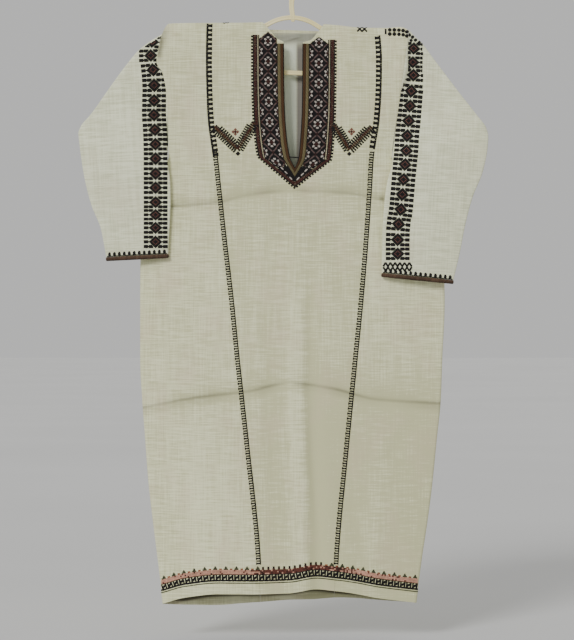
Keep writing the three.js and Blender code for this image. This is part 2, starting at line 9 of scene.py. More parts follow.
import bpy
import bmesh
import numpy as np
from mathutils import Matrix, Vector


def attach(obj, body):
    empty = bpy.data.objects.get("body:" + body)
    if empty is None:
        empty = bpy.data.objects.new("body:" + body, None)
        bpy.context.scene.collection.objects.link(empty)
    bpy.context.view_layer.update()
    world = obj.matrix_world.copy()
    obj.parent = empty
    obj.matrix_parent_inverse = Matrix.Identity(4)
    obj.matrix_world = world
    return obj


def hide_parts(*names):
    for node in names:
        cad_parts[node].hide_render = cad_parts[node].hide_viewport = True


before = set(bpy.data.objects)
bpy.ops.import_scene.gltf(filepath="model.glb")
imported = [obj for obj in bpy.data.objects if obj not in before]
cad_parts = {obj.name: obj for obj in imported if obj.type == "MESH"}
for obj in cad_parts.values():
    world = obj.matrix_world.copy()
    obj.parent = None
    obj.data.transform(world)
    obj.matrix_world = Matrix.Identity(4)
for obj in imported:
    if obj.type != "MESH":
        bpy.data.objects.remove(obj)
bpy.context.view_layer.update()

MM = 0.001
CLOTH = 1.5  # thickness of the handwoven cloth
SEAM = 0.3  # gap between two pieces that are sewn together
SHOULDER_Z = -112.0
HEM_Z = -1274.0
ARMHOLE_Z = -378.0
HEM_TURN = 26.0  # height of the turned-up hem
HEM_EXTRA = 0.9  # how much thicker the turned-up hem is
SLIT_Z = -401.0
BELLY = 2.4  # how squarely a wall bulges between its edges
BACK_NECK_DIP = 13.0
SLEEVE_EDGE = 2.6  # half thickness of a sleeve at its folds
CUFF = 14.0  # the number of a sleeve's last section
BRAID_WIDE = 13.0
BRAID_HIGH = 1.2

# The shoulder line: x, z.
SHOULDER = [
    (-268, -123), (-257, -113), (-248, -110), (-220, -108.8), (-168, -108.3), (-106, -108),
    (-61, -107), (62, -111), (94, -113.5), (130, -117.5), (188, -118.5), (214, -116.5),
    (228, -120.5), (237, -129), (244, -136),
]
# The hem: x, z of the front, z of the back.
HEM = [
    (-262, -1273, -1274), (-215, -1259, -1277), (-148, -1251, -1279), (-85, -1251, -1275),
    (-10, -1249, -1270), (42, -1241, -1268), (89, -1245, -1264), (129, -1251, -1265),
    (168, -1259, -1268), (248, -1271, -1271),
]
# The seams between the middle lengths and the side panels: z, left x, right x.
SIDE_SEAM = [
    (-112, -168, 168), (-184, -169, 173), (-244, -168, 172), (-304, -165, 168),
    (-378, -155, 157), (-444, -148, 153), (-544, -137, 146), (-664, -123, 136),
    (-784, -111, 124), (-964, -91, 106), (-1184, -69, 86), (-1274, -66, 83),
]
# The body's outer edges: z, left x, right x.
SIDE_EDGE = [
    (-112, -250, 229), (-120, -258, 230), (-140, -267, 231), (-182, -273, 229),
    (-206, -262, 226), (-246, -254, 219), (-318, -250, 204.8), (-350, -249.3, 200.4),
    (-378, -249.3, 198), (-410, -268, 226), (-450, -286, 258), (-500, -299, 284),
    (-560, -305, 299), (-664, -306, 304), (-784, -306, 299), (-864, -302, 296),
    (-944, -296, 288), (-1024, -290, 280), (-1104, -281, 270), (-1184, -271, 258),
    (-1274, -260, 246),
]
# How far the middle of a wall stands from the mid-plane: distance below the shoulder, depth.
MIDDLE_DEPTH = [
    (0, 0.62), (2, 3.3), (5, 5.4), (12, 7.8), (30, 10.5), (90, 13), (200, 16), (450, 19),
    (800, 23), (1170, 29),
]
# How far a wall's outer edge stands from the mid-plane: z, left, right.
EDGE_DEPTH = [
    (-100, 10, 1.6), (-150, 10, 3), (-182, 10, 5), (-230, 10, 7), (-300, 10, 7.5),
    (-378, 8, 7), (-420, 6, 6), (-480, 4.5, 4.5), (-1280, 4.5, 4.5),
]
# Long soft folds: from x, to x, from z, to z, half width, height.
FOLDS = {
    "front": [
        (4, 24, -430, -1300, 17, 5), (34, 50, -500, -1300, 16, -4.5),
        (-60, -28, -560, -1300, 24, -2.5), (190, 150, -820, -1300, 22, 2.2),
        (-215, -170, -700, -1300, 26, 2),
    ],
    "back": [
        (-20, -8, -300, -1300, 20, 4), (-100, -112, -600, -1300, 16, 4),
        (70, 78, -560, -1300, 18, -3.5), (150, 170, -760, -1300, 20, 2.4),
    ],
}
# The neck scoop and the slit below it: z, left x, right x.
NECK_EDGE = [
    (-112, -61, 62), (-130, -45, 49), (-146, -30, 35), (-151, -19, 20), (-221, -18.5, 19.5),
    (-285, -17, 18.5), (-340, -13, 15.5), (-378, -7, 12), (-401, 0.5, 6), (-440, -4, 11),
    (-1274, -2, 17),
]
# Sleeve sections from shoulder to cuff: inner end x, z, y, outer end x, z, y, half thickness.
LEFT_SLEEVE = [
    (-250.5, -350, 0, -254, -126, 0, 8), (-250.5, -353, -1.5, -266, -133, 0, 7),
    (-250.6, -356, -4, -286, -145, 0, 7), (-250.8, -360, -7, -308, -162, -1, 7),
    (-251, -365, -10, -340, -201, -3, 7), (-251.2, -371, -13, -372, -246, -5, 7),
    (-251.2, -379, -15.5, -402, -289, -7, 7), (-250.8, -389, -17, -424, -316, -9, 7),
    (-249.5, -401, -17.5, -429, -331, -10, 7), (-247, -416, -18, -427, -350, -11, 7),
    (-245.5, -436, -18, -422, -388, -12, 7), (-245, -462, -18, -414, -432, -13, 6.5),
    (-246, -494, -18, -402, -476, -13, 6.5), (-248, -530, -18, -384, -521, -13, 6.5),
    (-250, -572, -18, -373, -578, -13, 7),
]
RIGHT_SLEEVE = [
    (199.5, -362, 0, 233, -122, 0, 11.5), (199.5, -365, -2.5, 243, -134, 0, 11),
    (199.5, -369, -5.5, 258, -148, 0, 9), (199.5, -374, -9, 280, -178, -2, 8),
    (199.5, -380, -12.5, 308, -216, -5, 7.5), (199, -387, -16, 338, -256, -8, 7),
    (198.5, -395, -19, 366, -292, -11, 7), (195, -405, -21.5, 386, -320, -13, 7),
    (191, -418, -23, 390, -338, -14, 7), (187.5, -434, -23.5, 388, -364, -15, 7),
    (184, -458, -24, 378, -410, -16, 7), (181, -492, -24, 359, -457, -17, 6.5),
    (179, -530, -24, 344, -512, -17, 6.5), (178, -568, -24, 333, -568, -17, 6.5),
    (178, -610, -24, 320, -624, -17, 7),
]
SLEEVES = {"left": LEFT_SLEEVE, "right": RIGHT_SLEEVE}

# Storage creases that cross the front: x, z. The cloth was folded here and dips in.
UPPER_CREASE = [
    (-290, -482), (-256, -478), (-156, -470), (-86, -454), (0, -446), (104, -450), (184, -464),
    (290, -476),
]
LOWER_CREASE = [
    (-306, -880), (-186, -858), (-96, -848), (-6, -830), (74, -840), (174, -864), (300, -871),
]
# The same two on the back.
BACK_UPPER_CREASE = [(-290, -470), (-120, -462), (30, -452), (150, -458), (290, -470)]
BACK_LOWER_CREASE = [(-306, -872), (-150, -866), (20, -846), (160, -852), (300, -868)]
# Crease line, depth of the dip, reach of its slopes, and how far below the dip (above it, if
# negative) the soft shade lies.
LEVEL_CREASES = {
    "front": [(UPPER_CREASE, 2.6, 13, -6), (LOWER_CREASE, 4.2, 11, 7)],
    "back": [(BACK_UPPER_CREASE, 2.4, 13, -6), (BACK_LOWER_CREASE, 3.8, 12, 7)],
}
# Soft creases that run down or aslant: start x, z, end x, z, half width, height.
SLANT_CREASES = {
    "front": [
        (-52, -300, -36, -1240, 9, 0.9), (14, -470, 22, -1240, 6, 1.2),
        (44, -520, 60, -1200, 8, -1.1), (-190, -330, -120, -520, 12, -1.2),
        (186, -330, 120, -540, 13, -1.2), (-240, -520, -150, -640, 14, 0.9),
        (236, -520, 150, -700, 15, 0.9), (-286, -690, -170, -740, 11, -0.8),
        (110, -960, 150, -1230, 11, -1.0), (-120, -900, -150, -1220, 12, 0.9),
        (-30, -120, -100, -330, 10, 0.6), (96, -130, 120, -330, 12, 0.6),
        (250, -900, 170, -1010, 13, -0.8), (-260, -960, -180, -1120, 14, 0.8),
        (-216, -130, -196, -330, 12, -0.9), (214, -140, 186, -330, 10, -0.8),
    ],
    "back": [
        (-34, -152, 40, -134, 6, 4.5), (12, -140, 16, -330, 9, 3.0), (-8, -150, -6, -380, 8, -1.6),
        (-30, -170, -70, -420, 14, 1.2), (24, -170, 70, -430, 13, 1.1),
        (0, -480, 12, -1240, 8, 1.3), (-140, -520, -90, -820, 14, -1.0),
        (150, -560, 110, -840, 14, -1.1), (-250, -560, -170, -700, 15, 0.9),
        (246, -540, 160, -690, 14, 0.9), (-170, -900, -150, -1230, 12, 1.0),
        (130, -900, 160, -1220, 12, -1.0), (-230, -1000, -190, -1200, 13, -0.8),
    ],
}
# Sleeve creases, as they lie on the front face of each sleeve and, fainter, on its back.
SLEEVE_CREASES = {
    "left": [
        (-388, -524, -306, -516, 7, -1.2), (-306, -176, -338, -264, 12, -1.6),
        (-420, -330, -330, -372, 12, 0.9), (-405, -420, -330, -440, 10, -0.8),
        (-262, -190, -268, -330, 13, -1.5), (-350, -250, -300, -420, 14, 0.9),
    ],
    "right": [
        (340, -536, 262, -548, 7, -1.1), (384, -330, 290, -366, 12, 0.9),
        (240, -190, 224, -330, 12, -1.5), (330, -250, 268, -420, 14, 0.9),
        (366, -430, 290, -452, 10, -0.8), (282, -190, 300, -300, 12, -1.2),
    ],
}


# ---- plain arithmetic
def curve(table, at, column=1):
    """A smooth curve through one column of a table, that never swings past its points."""
    rows = np.array(table, float)
    rows = rows[np.argsort(rows[:, 0])]
    key = rows[:, 0]
    value = rows[:, column]
    rise = np.diff(value) / np.diff(key)
    product = rise[:-1] * rise[1:]
    total = np.where(product > 0, rise[:-1] + rise[1:], 1.0)
    inner = np.where(product > 0, 2 * product / total, 0.0)
    slope = np.concatenate([rise[:1], inner, rise[-1:]])
    at = np.asarray(at, float)
    i = np.clip(np.searchsorted(key, at) - 1, 0, len(key) - 2)
    span = key[i + 1] - key[i]
    t = np.clip((at - key[i]) / span, 0, 1)
    start = (1 + 2 * t) * (1 - t) ** 2
    end = t * t * (3 - 2 * t)
    bend = t * (1 - t) ** 2 * slope[i] - t * t * (1 - t) * slope[i + 1]
    return start * value[i] + end * value[i + 1] + bend * span


def smooth(value, low, high):
    """0 up to low, 1 from high on, and a soft step between."""
    share = np.clip((value - low) / (high - low), 0, 1)
    return share * share * (3 - 2 * share)


def mix(a, b, share):
    return a + (b - a) * share


def bell(off):
    """1 where off is 0, and falling away softly on both sides."""
    return np.exp(-(off**2))


def unit(vectors):
    return vectors / np.maximum(np.linalg.norm(vectors, axis=-1, keepdims=True), 1e-9)


def scatter(*numbers):
    """A repeatable number from 0 to 1 for each place."""
    total = sum(np.asarray(n, float) * k for n, k in zip(numbers, (12.9898, 78.233, 37.719)))
    return np.modf(np.abs(np.sin(total) * 43758.5453))[0]


def waves(x, z, seed):
    """Slow uneven waves, as in cloth that has hung for long, between about -1 and 1."""
    total = np.zeros(np.broadcast(x, z).shape)
    for k, (long_x, long_z) in enumerate([(151, 310), (97, 190), (63, 121), (231, 77), (41, 83)]):
        turn = 2.4 * np.sin(z / (190 + 23 * k) + seed + k)
        total = total + np.sin(x / long_x * 6.28 + z / long_z * 3.1 + turn + seed * (k + 1.7))
    return total / 5


# ---- the body's surface
def folds_at(face, x, z):
    """How far the long folds push the wall outward."""
    total = np.zeros(np.broadcast(x, z).shape)
    for from_x, to_x, from_z, to_z, wide, high in FOLDS[face]:
        share = (z - from_z) / (to_z - from_z)
        along = np.clip(share, 0, None)
        off = (x - mix(from_x, to_x, along)) / (wide * mix(0.75, 1.25, along))
        total = total + high * smooth(along, 0, 0.75) * bell(off)
    return total


def body_frame(x, z):
    """The middle of the body at height z, and the reach and edge depth of the half that holds x."""
    left = curve(SIDE_EDGE, z, 1)
    right = curve(SIDE_EDGE, z, 2)
    middle = (left + right) / 2
    on_left = x < middle
    most = curve(MIDDLE_DEPTH, curve(SHOULDER, x) - z)
    edge = np.where(on_left, curve(EDGE_DEPTH, z, 1), curve(EDGE_DEPTH, z, 2))
    least = np.minimum(edge, most)
    reach = np.abs(np.where(on_left, left, right) - middle)
    reach = reach - np.where(z < ARMHOLE_Z, least, 0)
    return middle, reach, least, most


def row_height(face, x, z0):
    """The height at x of the nominal row z0: rows follow the shoulder above and the hem below."""
    top = curve(SHOULDER, x) - SHOULDER_Z
    bottom = curve(HEM, x, 1 if face == "front" else 2) - HEM_Z
    drawn = z0 + top * (1 - smooth(-z0, -SHOULDER_Z, 260))
    return drawn + bottom * smooth(-z0, 760, -HEM_Z)


def nominal(face, x, z):
    """The nominal row that passes through height z at x."""
    z0 = np.asarray(z, float)
    for _ in range(6):
        z0 = z0 - (row_height(face, x, z0) - z)
    return np.clip(z0, HEM_Z, SHOULDER_Z)


def body_point(face, x, z0):
    """The middle of a body wall. Past the side fold's start, x goes on round the fold."""
    z = row_height(face, x, z0)
    middle, reach, least, most = body_frame(x, z)
    side = np.sign(x - middle)
    off = np.abs(x - middle)
    share = np.minimum(1, off / reach)
    depth = least + (most - least) * (1 - share**BELLY) + folds_at(face, x, z) * (1 - share**6)
    round_fold = (z < ARMHOLE_Z) & (off > reach)
    turn = np.clip((off - reach) / np.maximum(least, 0.1), 0, math.pi / 2)
    out_x = np.where(round_fold, middle + side * (reach + least * np.sin(turn)), x)
    depth = np.where(round_fold, least * np.cos(turn), depth)
    return np.stack([out_x, depth * (-1 if face == "front" else 1), z], -1)


def body_normal(face, x, z0):
    step = 1.2
    across = body_point(face, x + step, z0) - body_point(face, x - step, z0)
    above = body_point(face, x, np.minimum(z0 + step, SHOULDER_Z))
    below = body_point(face, x, np.maximum(z0 - step, HEM_Z))
    return unit(np.cross(below - above, across)) * (1 if face == "front" else -1)


def crease(x, z, line):
    """A soft ridge or trough along a straight run, that fades at both ends."""
    from_x, from_z, to_x, to_z, wide, high = line
    ahead = np.array([to_x - from_x, to_z - from_z], float)
    length = np.linalg.norm(ahead)
    ahead = ahead / length
    along = (x - from_x) * ahead[0] + (z - from_z) * ahead[1]
    bow = 0.03 * length * np.sin(along / length * math.pi)
    off = -(x - from_x) * ahead[1] + (z - from_z) * ahead[0] + bow
    fade = smooth(along, -0.1 * length, 0.3 * length) * (1 - smooth(along, 0.65 * length, 1.1 * length))
    return high * fade * bell(off / wide)


def body_relief(face, x, z):
    """How far creases, waves and puckers lift the cloth outward."""
    middle, reach, _, _ = body_frame(x, z)
    total = 0.55 * waves(x, z, 1.3 if face == "front" else 4.1)
    for line, deep, slope, _ in LEVEL_CREASES[face]:
        off = z - curve(line, x)
        uneven = 0.75 + 0.35 * np.sin(x / 47.0 + deep) + 0.15 * np.sin(x / 13.0)
        total = total - deep * uneven * np.exp(-np.abs(off) / slope)
    for line in SLANT_CREASES[face]:
        total = total + crease(x, z, line)
    for column in (1, 2):
        off = (x - curve(SIDE_SEAM, z, column)) / 9.0
        pucker = np.sin(z / 3.1 + 1.4 * np.sin(z / 37.0) + column)
        total = total + (0.22 * pucker - 0.45) * bell(off)
    near_fold = 1 - smooth(np.abs(x - middle) / reach, 0.82, 1.0)
    near_top = mix(0.15, 1.0, smooth(curve(SHOULDER, x) - z, 4, 150))
    return total * near_fold * near_top


def on_body(face, x, z0, lift):
    """A point of the body, lifted off the middle of its creased wall."""
    point = body_point(face, x, z0)
    lift = lift + body_relief(face, x, point[..., 2])
    return point + body_normal(face, x, z0) * np.asarray(lift)[..., None]


# ---- the sleeves' surface
def sleeve_ends(side, t):
    """Inner end, outer end and half thickness of the sleeve's section t, from 0 to CUFF."""
    table = [(k, *row) for k, row in enumerate(SLEEVES[side])]
    columns = [curve(table, t, c) for c in range(1, 8)]
    inner = np.stack([columns[0], columns[2], columns[1]], -1)
    outer = np.stack([columns[3], columns[5], columns[4]], -1)
    return inner, outer, columns[6]


def sleeve_point(side, t, share, facing, lift, drop=0.0):
    """A point of the sleeve at section t. facing goes from 1, the front face, round the outer fold
    at 0 to -1, the back face. Past 1 and -1 it goes round the inner fold."""
    inner, outer, half = sleeve_ends(side, t)
    span = outer - inner
    length = np.linalg.norm(span, axis=-1)
    along = span / length[..., None]
    face = unit(np.array([0.0, -1.0, 0.0]) + along * along[..., 1:2])
    down = np.cross(along, face) * (1 if side == "right" else -1)
    bulge = (half - SLEEVE_EDGE) * (1 - np.abs(2 * share - 1) ** BELLY)
    turn = (1 - facing) * math.pi / 2
    flat = length - 2 * SLEEVE_EDGE
    out = (SLEEVE_EDGE + lift) * np.sin(turn)
    far = SLEEVE_EDGE + share * flat + out * np.where(share > 0.5, 1, -1)
    high = (SLEEVE_EDGE + lift) * np.cos(turn) + bulge * np.sign(np.cos(turn))
    place = inner + along * far[..., None] + face * high[..., None]
    return place + down * np.asarray(drop)[..., None]


def sleeve_relief(side, t, share, facing):
    """Creases and slow waves of a sleeve; both faces have them, the back ones are fainter."""
    flat = sleeve_point(side, t, share, np.ones_like(t), 0 * t)
    x = flat[..., 0]
    z = flat[..., 2]
    total = 0.5 * waves(x, z, 2.2 if side == "left" else 5.7)
    for line in SLEEVE_CREASES[side]:
        total = total + crease(x, z, line)
    total = total + 0.35 * np.sin(z / 3.4 + 1.2 * np.sin(z / 29.0)) * bell(share * 16)
    near_fold = np.sin(np.clip(share, 0.0, 1.0) * math.pi) ** 0.5
    near_end = smooth(t, 0, 0.8)
    return total * near_fold * near_end * np.where(facing > 0, 1.0, 0.7)


def on_sleeve(side, x, z, lift):
    """The point of the sleeve's front face that shows at x, z, lifted off the cloth."""
    low = np.zeros(np.shape(x))
    high = np.full(np.shape(x), CUFF)
    turned = 1 if side == "left" else -1
    for _ in range(22):
        t = (low + high) / 2
        inner, outer, _ = sleeve_ends(side, t)
        cross = (outer[..., 0] - inner[..., 0]) * (z - inner[..., 2])
        cross = cross - (outer[..., 2] - inner[..., 2]) * (x - inner[..., 0])
        below = cross * turned > 0
        low = np.where(below, t, low)
        high = np.where(below, high, t)
    inner, outer, _ = sleeve_ends(side, t)
    span = (outer - inner)[..., [0, 2]]
    length = np.linalg.norm(span, axis=-1)
    off = np.stack([x - inner[..., 0], z - inner[..., 2]], -1)
    far = np.sum(off * span, -1) / length
    share = (far - SLEEVE_EDGE) / (length - 2 * SLEEVE_EDGE)
    flat_share = np.clip(share, 0, 1)
    facing = 1 - np.clip(np.maximum(-share, share - 1) * length / SLEEVE_EDGE, 0, 1) * 0.6
    lifted = lift + sleeve_relief(side, t, flat_share, facing)
    return sleeve_point(side, t, flat_share, facing, lifted)


# ---- making meshes
def new_object(name, points, faces, looks, attributes=(), face_look=None, node=None):
    """A closed mesh object in metres that rides on the frame, and stands for a node if one is named."""
    mesh = bpy.data.meshes.new(name)
    mesh.from_pydata((points * MM).tolist(), [], faces)
    for look in looks:
        mesh.materials.append(look)
    if face_look is not None:
        mesh.polygons.foreach_set("material_index", face_look.astype(np.int32))
    for key, values in dict(attributes).items():
        kind, field = ("FLOAT_VECTOR", "vector") if values.ndim == 2 else ("FLOAT", "value")
        layer = mesh.attributes.new(key, kind, "POINT")
        layer.data.foreach_set(field, values.ravel().astype(np.float32))
    work = bmesh.new()
    work.from_mesh(mesh)
    bmesh.ops.recalc_face_normals(work, faces=work.faces)
    work.to_mesh(mesh)
    work.free()
    mesh.shade_smooth()
    mesh.set_sharp_from_angle(angle=math.radians(55))
    piece = bpy.data.objects.new(name, mesh)
    bpy.context.scene.collection.objects.link(piece)
    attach(piece, "root")
    if node:
        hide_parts(node)
    return piece


def shell_faces(keep, closed=False):
    """Faces of a sheet with two sides and an edge. keep says which cells of the grid are cloth."""
    rows = keep.shape[0] + 1
    columns = keep.shape[1] + (0 if closed else 1)
    count = rows * columns
    j, i = np.nonzero(keep)
    right = (i + 1) % columns
    a = j * columns + i
    b = j * columns + right
    c = (j + 1) * columns + right
    d = (j + 1) * columns + i
    faces = [np.stack([a, b, c, d], -1), np.stack([d, c, b, a], -1) + count]
    left_of = np.roll(keep, 1, 1)
    right_of = np.roll(keep, -1, 1)
    if not closed:
        left_of[:, 0] = False
        right_of[:, -1] = False
    none = np.zeros((1, keep.shape[1]), bool)
    above = np.vstack([none, keep[:-1]])
    below = np.vstack([keep[1:], none])
    for neighbour, start, end in ((above, a, b), (right_of, b, c), (below, c, d), (left_of, d, a)):
        rim = ~neighbour[j, i]
        faces.append(np.stack([end, start, start + count, end + count], -1)[rim])
    return np.concatenate(faces)


def used_only(points, faces, attributes):
    """Leaves out the points that no face uses."""
    names, index = np.unique(faces, return_inverse=True)
    trimmed = {key: values[names] for key, values in attributes.items()}
    return points[names], index.reshape(faces.shape), trimmed


def ring_faces(rings, around, closed):
    """Faces between rings of points, from each ring to the next. closed joins the last to the first."""
    k = np.arange(rings if closed else rings - 1)[:, None]
    i = np.arange(around)[None, :]
    after = (k + 1) % rings
    beside = (i + 1) % around
    corners = [k * around + i, k * around + beside, after * around + beside, after * around + i]
    return np.stack(corners, -1).reshape(-1, 4)


def inner_light_and_shade(x, low):
    """Painted shade and painted light of the cloth's inner side at x, low below the origin: at neck,
    slit and hem.
    """
    # Painted shade on the inside of the back neck, which leaves its top edge light.
    neck = 0.74 * smooth(low, 125.5, 129) * (1 - smooth(low, 140, 165))
    # Painted light on the left of the slit's inside, painted shade on its right.
    slit = smooth(low, 140, 160) * (1 - smooth(low, 380, 500))
    right = smooth(x, 4.5, 9)
    # A painted shadow line along a drape fold inside the back neck.
    off_fold = (low - 139.3 + 0.28 * x) / 2.0
    neck_fold_shade = 0.4 * bell(off_fold) * bell((x - 2) / 17)
    # Painted shadow under the front's hem on the back's inner side, and painted shade inside the hem,
    # lighter toward the back's own hem edge.
    under_front = low + curve(HEM, x, 1)
    over_back = -low - curve(HEM, x, 2)
    hem = smooth(low, 1150, 1235) * mix(0.4, 1.0, smooth(over_back, 4, 9))
    shade = neck_fold_shade + hem * (0.22 + 0.7 * (1 - smooth(under_front, 8, 14)))
    return {"neck": neck, "slit_left_painted_light": slit * (1 - right), "slit_right_painted_shade": slit * right, "shadow": shade}


def shell(node, grid, keep, look, closed=False):
    """A cloth piece from grids of its outer and inner points, thread coordinates, tone and shade."""
    outer, inner, thread = (part.reshape(-1, 3) for part in grid[:3])
    tone, shade = (part.ravel() for part in grid[3:])
    attributes = {"thread": np.concatenate([thread, thread]) * MM, "tone": np.concatenate([tone, tone])}
    for key, inside in inner_light_and_shade(inner[:, 0], -inner[:, 2]).items():
        attributes[key] = np.concatenate([shade if key == "shadow" else 0 * shade, inside])
    points = np.concatenate([outer, inner])
    points, faces, attributes = used_only(points, shell_faces(keep, closed), attributes)
    return new_object(f"{node}_cloth", points, faces.tolist(), [look], attributes, node=node)


# ---- the cloth pieces
# Heights between which rows are close together, for creases, the neck and the hem.
FINE_BANDS = [(-122, -150), (-425, -500), (-815, -895), (-1180, -1274)]
FINE_ROW = 2.2
PLAIN_ROW = 5.6
# Where the weave starts on each face of the body and on each sleeve, so that their threads differ.
WEAVE_FROM = {"front": 0.0, "back": 700.0, "left": 1500.0, "right": 2300.0}
# Painted light and shade: cloth that stands out is painted lighter, cloth in dips darker.
RELIEF_SHADING_A_MM = 0.16  # how much lighter the cloth is for each millimetre that it stands out
BODY_TONE = 0.55  # the most that this can change the body's tone
SLEEVE_TONE = 0.3
FRONT_SHADE = 0.22  # how much darker the middle length of the front is
SIDE_STEPS = 32
FOLD_STEPS = 4
SLIT_STEPS = 34  # columns from a seam to the slit
BACK_STEPS = 22  # columns from a seam to a corner of the back's neck
BACK_NECK_STEPS = 26
SLEEVE_STEPS = 36  # columns across a sleeve
SLEEVE_FOLD_STEPS = 5
ELBOW = 8  # the sleeve section below which sections are longer
# Small painted shadows beside the sleeves, on the front: x, z, half width, half height, depth of shade.
PAINTED_SHADOWS = [
    (178, -461, 5, 4.5, 0.45), (175, -560, 4, 80, 0.11), (-238, -476, 8, 6, 0.18),
    (-243, -520, 4, 40, 0.10), (-264, -146, 5, 22, 0.62), (-256, -128, 8, 16, 0.32),
    (-268, -170, 4, 13, 0.60),
]


def row_list():
    """Nominal rows, close together where a crease or the hem needs them."""
    rows = [SHOULDER_Z, -112.6, -113.4, -114.6, -116.4, -119]
    while rows[-1] > HEM_Z:
        fine = any(top > rows[-1] > bottom for top, bottom in FINE_BANDS)
        rows.append(rows[-1] - (FINE_ROW if fine else PLAIN_ROW))
    rows[-1] = HEM_Z
    rows += [ARMHOLE_Z, SLIT_Z, HEM_Z + HEM_TURN, HEM_Z + HEM_TURN - 1.2]
    return np.array(sorted(set(rows), reverse=True), float)


ROWS = row_list()
SEAM_LEFT = curve(SIDE_SEAM, ROWS, 1) + SEAM / 2
SEAM_RIGHT = curve(SIDE_SEAM, ROWS, 2) - SEAM / 2


def right_seam(z):
    """Where the right sleeve's seam shows on its face."""
    return mix(234, 201, smooth(-z, 190, 310))


def cloth_grid(face, x, z0):
    """Outer points, inner points, thread coordinates, tone with painted relief light, and painted shade
    of a body wall.
    """
    thick = CLOTH / 2 + np.where(z0 < HEM_Z + HEM_TURN, HEM_EXTRA, 0.0)
    outer = on_body(face, x, z0, thick)
    inner = on_body(face, x, z0, np.full(x.shape, -CLOTH / 2))
    z = outer[..., 2]
    start = WEAVE_FROM[face]
    thread = np.stack([x + start, z, np.full(x.shape, start)], -1)
    # Painted light on what stands out and painted shade in dips and folds.
    tone = np.clip(RELIEF_SHADING_A_MM * (body_relief(face, x, z) + folds_at(face, x, z)), -BODY_TONE, BODY_TONE)
    low_right = smooth(x, -20, 60) * smooth(-z, 740, 900)
    near_hem = 1 - smooth(z, -1290, -1150)
    tone = tone - 0.55 * low_right - 0.10 * near_hem
    shade = np.zeros(x.shape)
    # Painted shade in each storage crease, and a soft painted shade beside it.
    for line, deep, _, below in LEVEL_CREASES[face]:
        off = z - curve(line, x)
        uneven = 0.8 + 0.2 * np.sin(x / 17.0 + 2 * np.sin(x / 61.0))
        uneven = uneven - 0.5 * bell((x + 4) / 18.0)
        tone = tone - 0.25 * bell((off + 1.3 * below) / 8.0)
        shade = shade + 0.11 * deep * uneven * bell(off / 3.2)
        shade = shade + 0.045 * deep * uneven**2 * bell((off + below) / 7.0)
    # Painted shadows beside the sleeves.
    for at_x, at_z, wide, tall, deep in PAINTED_SHADOWS if face == "front" else []:
        shade = shade + deep * bell((x - at_x) / wide) * bell((z - at_z) / tall)
    return outer, inner, thread, tone, shade


def columns_between(start, end, steps):
    """For each row, points spread from start to end."""
    share = np.linspace(0, 1, steps + 1)
    return start[:, None] + (end - start)[:, None] * share[None, :]


def all_cells(x):
    return np.ones((x.shape[0] - 1, x.shape[1] - 1), bool)


def front_cloth(look):
    """The front length: two halves that part at the neck scoop and the slit, and join below it."""
    left = columns_between(SEAM_LEFT, curve(NECK_EDGE, ROWS, 1), SLIT_STEPS)
    right = columns_between(curve(NECK_EDGE, ROWS, 2), SEAM_RIGHT, SLIT_STEPS)
    x = np.hstack([left, right])
    keep = all_cells(x)
    keep[ROWS[:-1] > SLIT_Z, SLIT_STEPS] = False
    outer, inner, thread, tone, shade = cloth_grid("front", x, np.repeat(ROWS[:, None], x.shape[1], 1))
    return shell("front", (outer, inner, thread, tone - FRONT_SHADE, shade), keep, look)


def back_cloth(look):
    """The back length. Its middle columns run down from the two corners of its shallow neck."""
    corner_fade = smooth(-ROWS, 112, 700)
    corner_left = mix(-61.0, mix(SEAM_LEFT, SEAM_RIGHT, 0.33), corner_fade)
    corner_right = mix(62.0, mix(SEAM_LEFT, SEAM_RIGHT, 0.67), corner_fade)
    left = columns_between(SEAM_LEFT, corner_left, BACK_STEPS)
    middle = columns_between(corner_left, corner_right, BACK_NECK_STEPS)[:, 1:-1]
    right = columns_between(corner_right, SEAM_RIGHT, BACK_STEPS)
    x = np.hstack([left, middle, right])
    share = np.clip((x - corner_left[:, None]) / (corner_right - corner_left)[:, None], 0, 1)
    dip = BACK_NECK_DIP * np.minimum(1, 3.2 * np.sin(math.pi * share) ** 0.8)
    z0 = ROWS[:, None] - dip * (1 - smooth(-ROWS, 112, 190))[:, None]
    return shell("back", cloth_grid("back", x, z0), all_cells(x), look)


def side_cloth(side, look):
    """A side panel: front, round the folded edge below the armhole, and back."""
    sign = -1 if side == "left" else 1
    column = 1 if side == "left" else 2
    seam = curve(SIDE_SEAM, ROWS, column) + sign * SEAM / 2
    edge = curve(SIDE_EDGE, ROWS, column)
    depth = curve(EDGE_DEPTH, ROWS, column)
    below = ROWS < ARMHOLE_Z
    end = np.where(below, edge - sign * depth, edge)
    fold_end = np.where(below, end + sign * depth * math.pi / 2, edge)
    round_fold = columns_between(end, fold_end, FOLD_STEPS)[:, 1:]
    x = np.hstack([columns_between(seam, end, SIDE_STEPS), round_fold])
    z0 = np.repeat(ROWS[:, None], x.shape[1], 1)
    walls = zip(cloth_grid("front", x, z0), cloth_grid("back", x, z0))
    grid = [np.concatenate([front[:, :-1], back[:, ::-1]], 1) for front, back in walls]
    middle = SIDE_STEPS + FOLD_STEPS
    keep = all_cells(grid[0])
    keep[np.ix_(ROWS[:-1] > ARMHOLE_Z, np.arange(middle - FOLD_STEPS, middle + FOLD_STEPS))] = False
    return shell(f"side_{side}", grid, keep, look)


def sleeve_ring(steps, turns):
    """share and facing once round a sleeve: front face, outer fold, back face, inner fold."""
    flat = np.linspace(0, 1, steps)
    fold = np.linspace(1, -1, turns + 2)[1:-1]
    share = np.concatenate([flat, np.ones(turns), flat[::-1], np.zeros(turns)])
    facing = np.concatenate([np.ones(steps), fold, -np.ones(steps), fold[::-1]])
    return share, facing


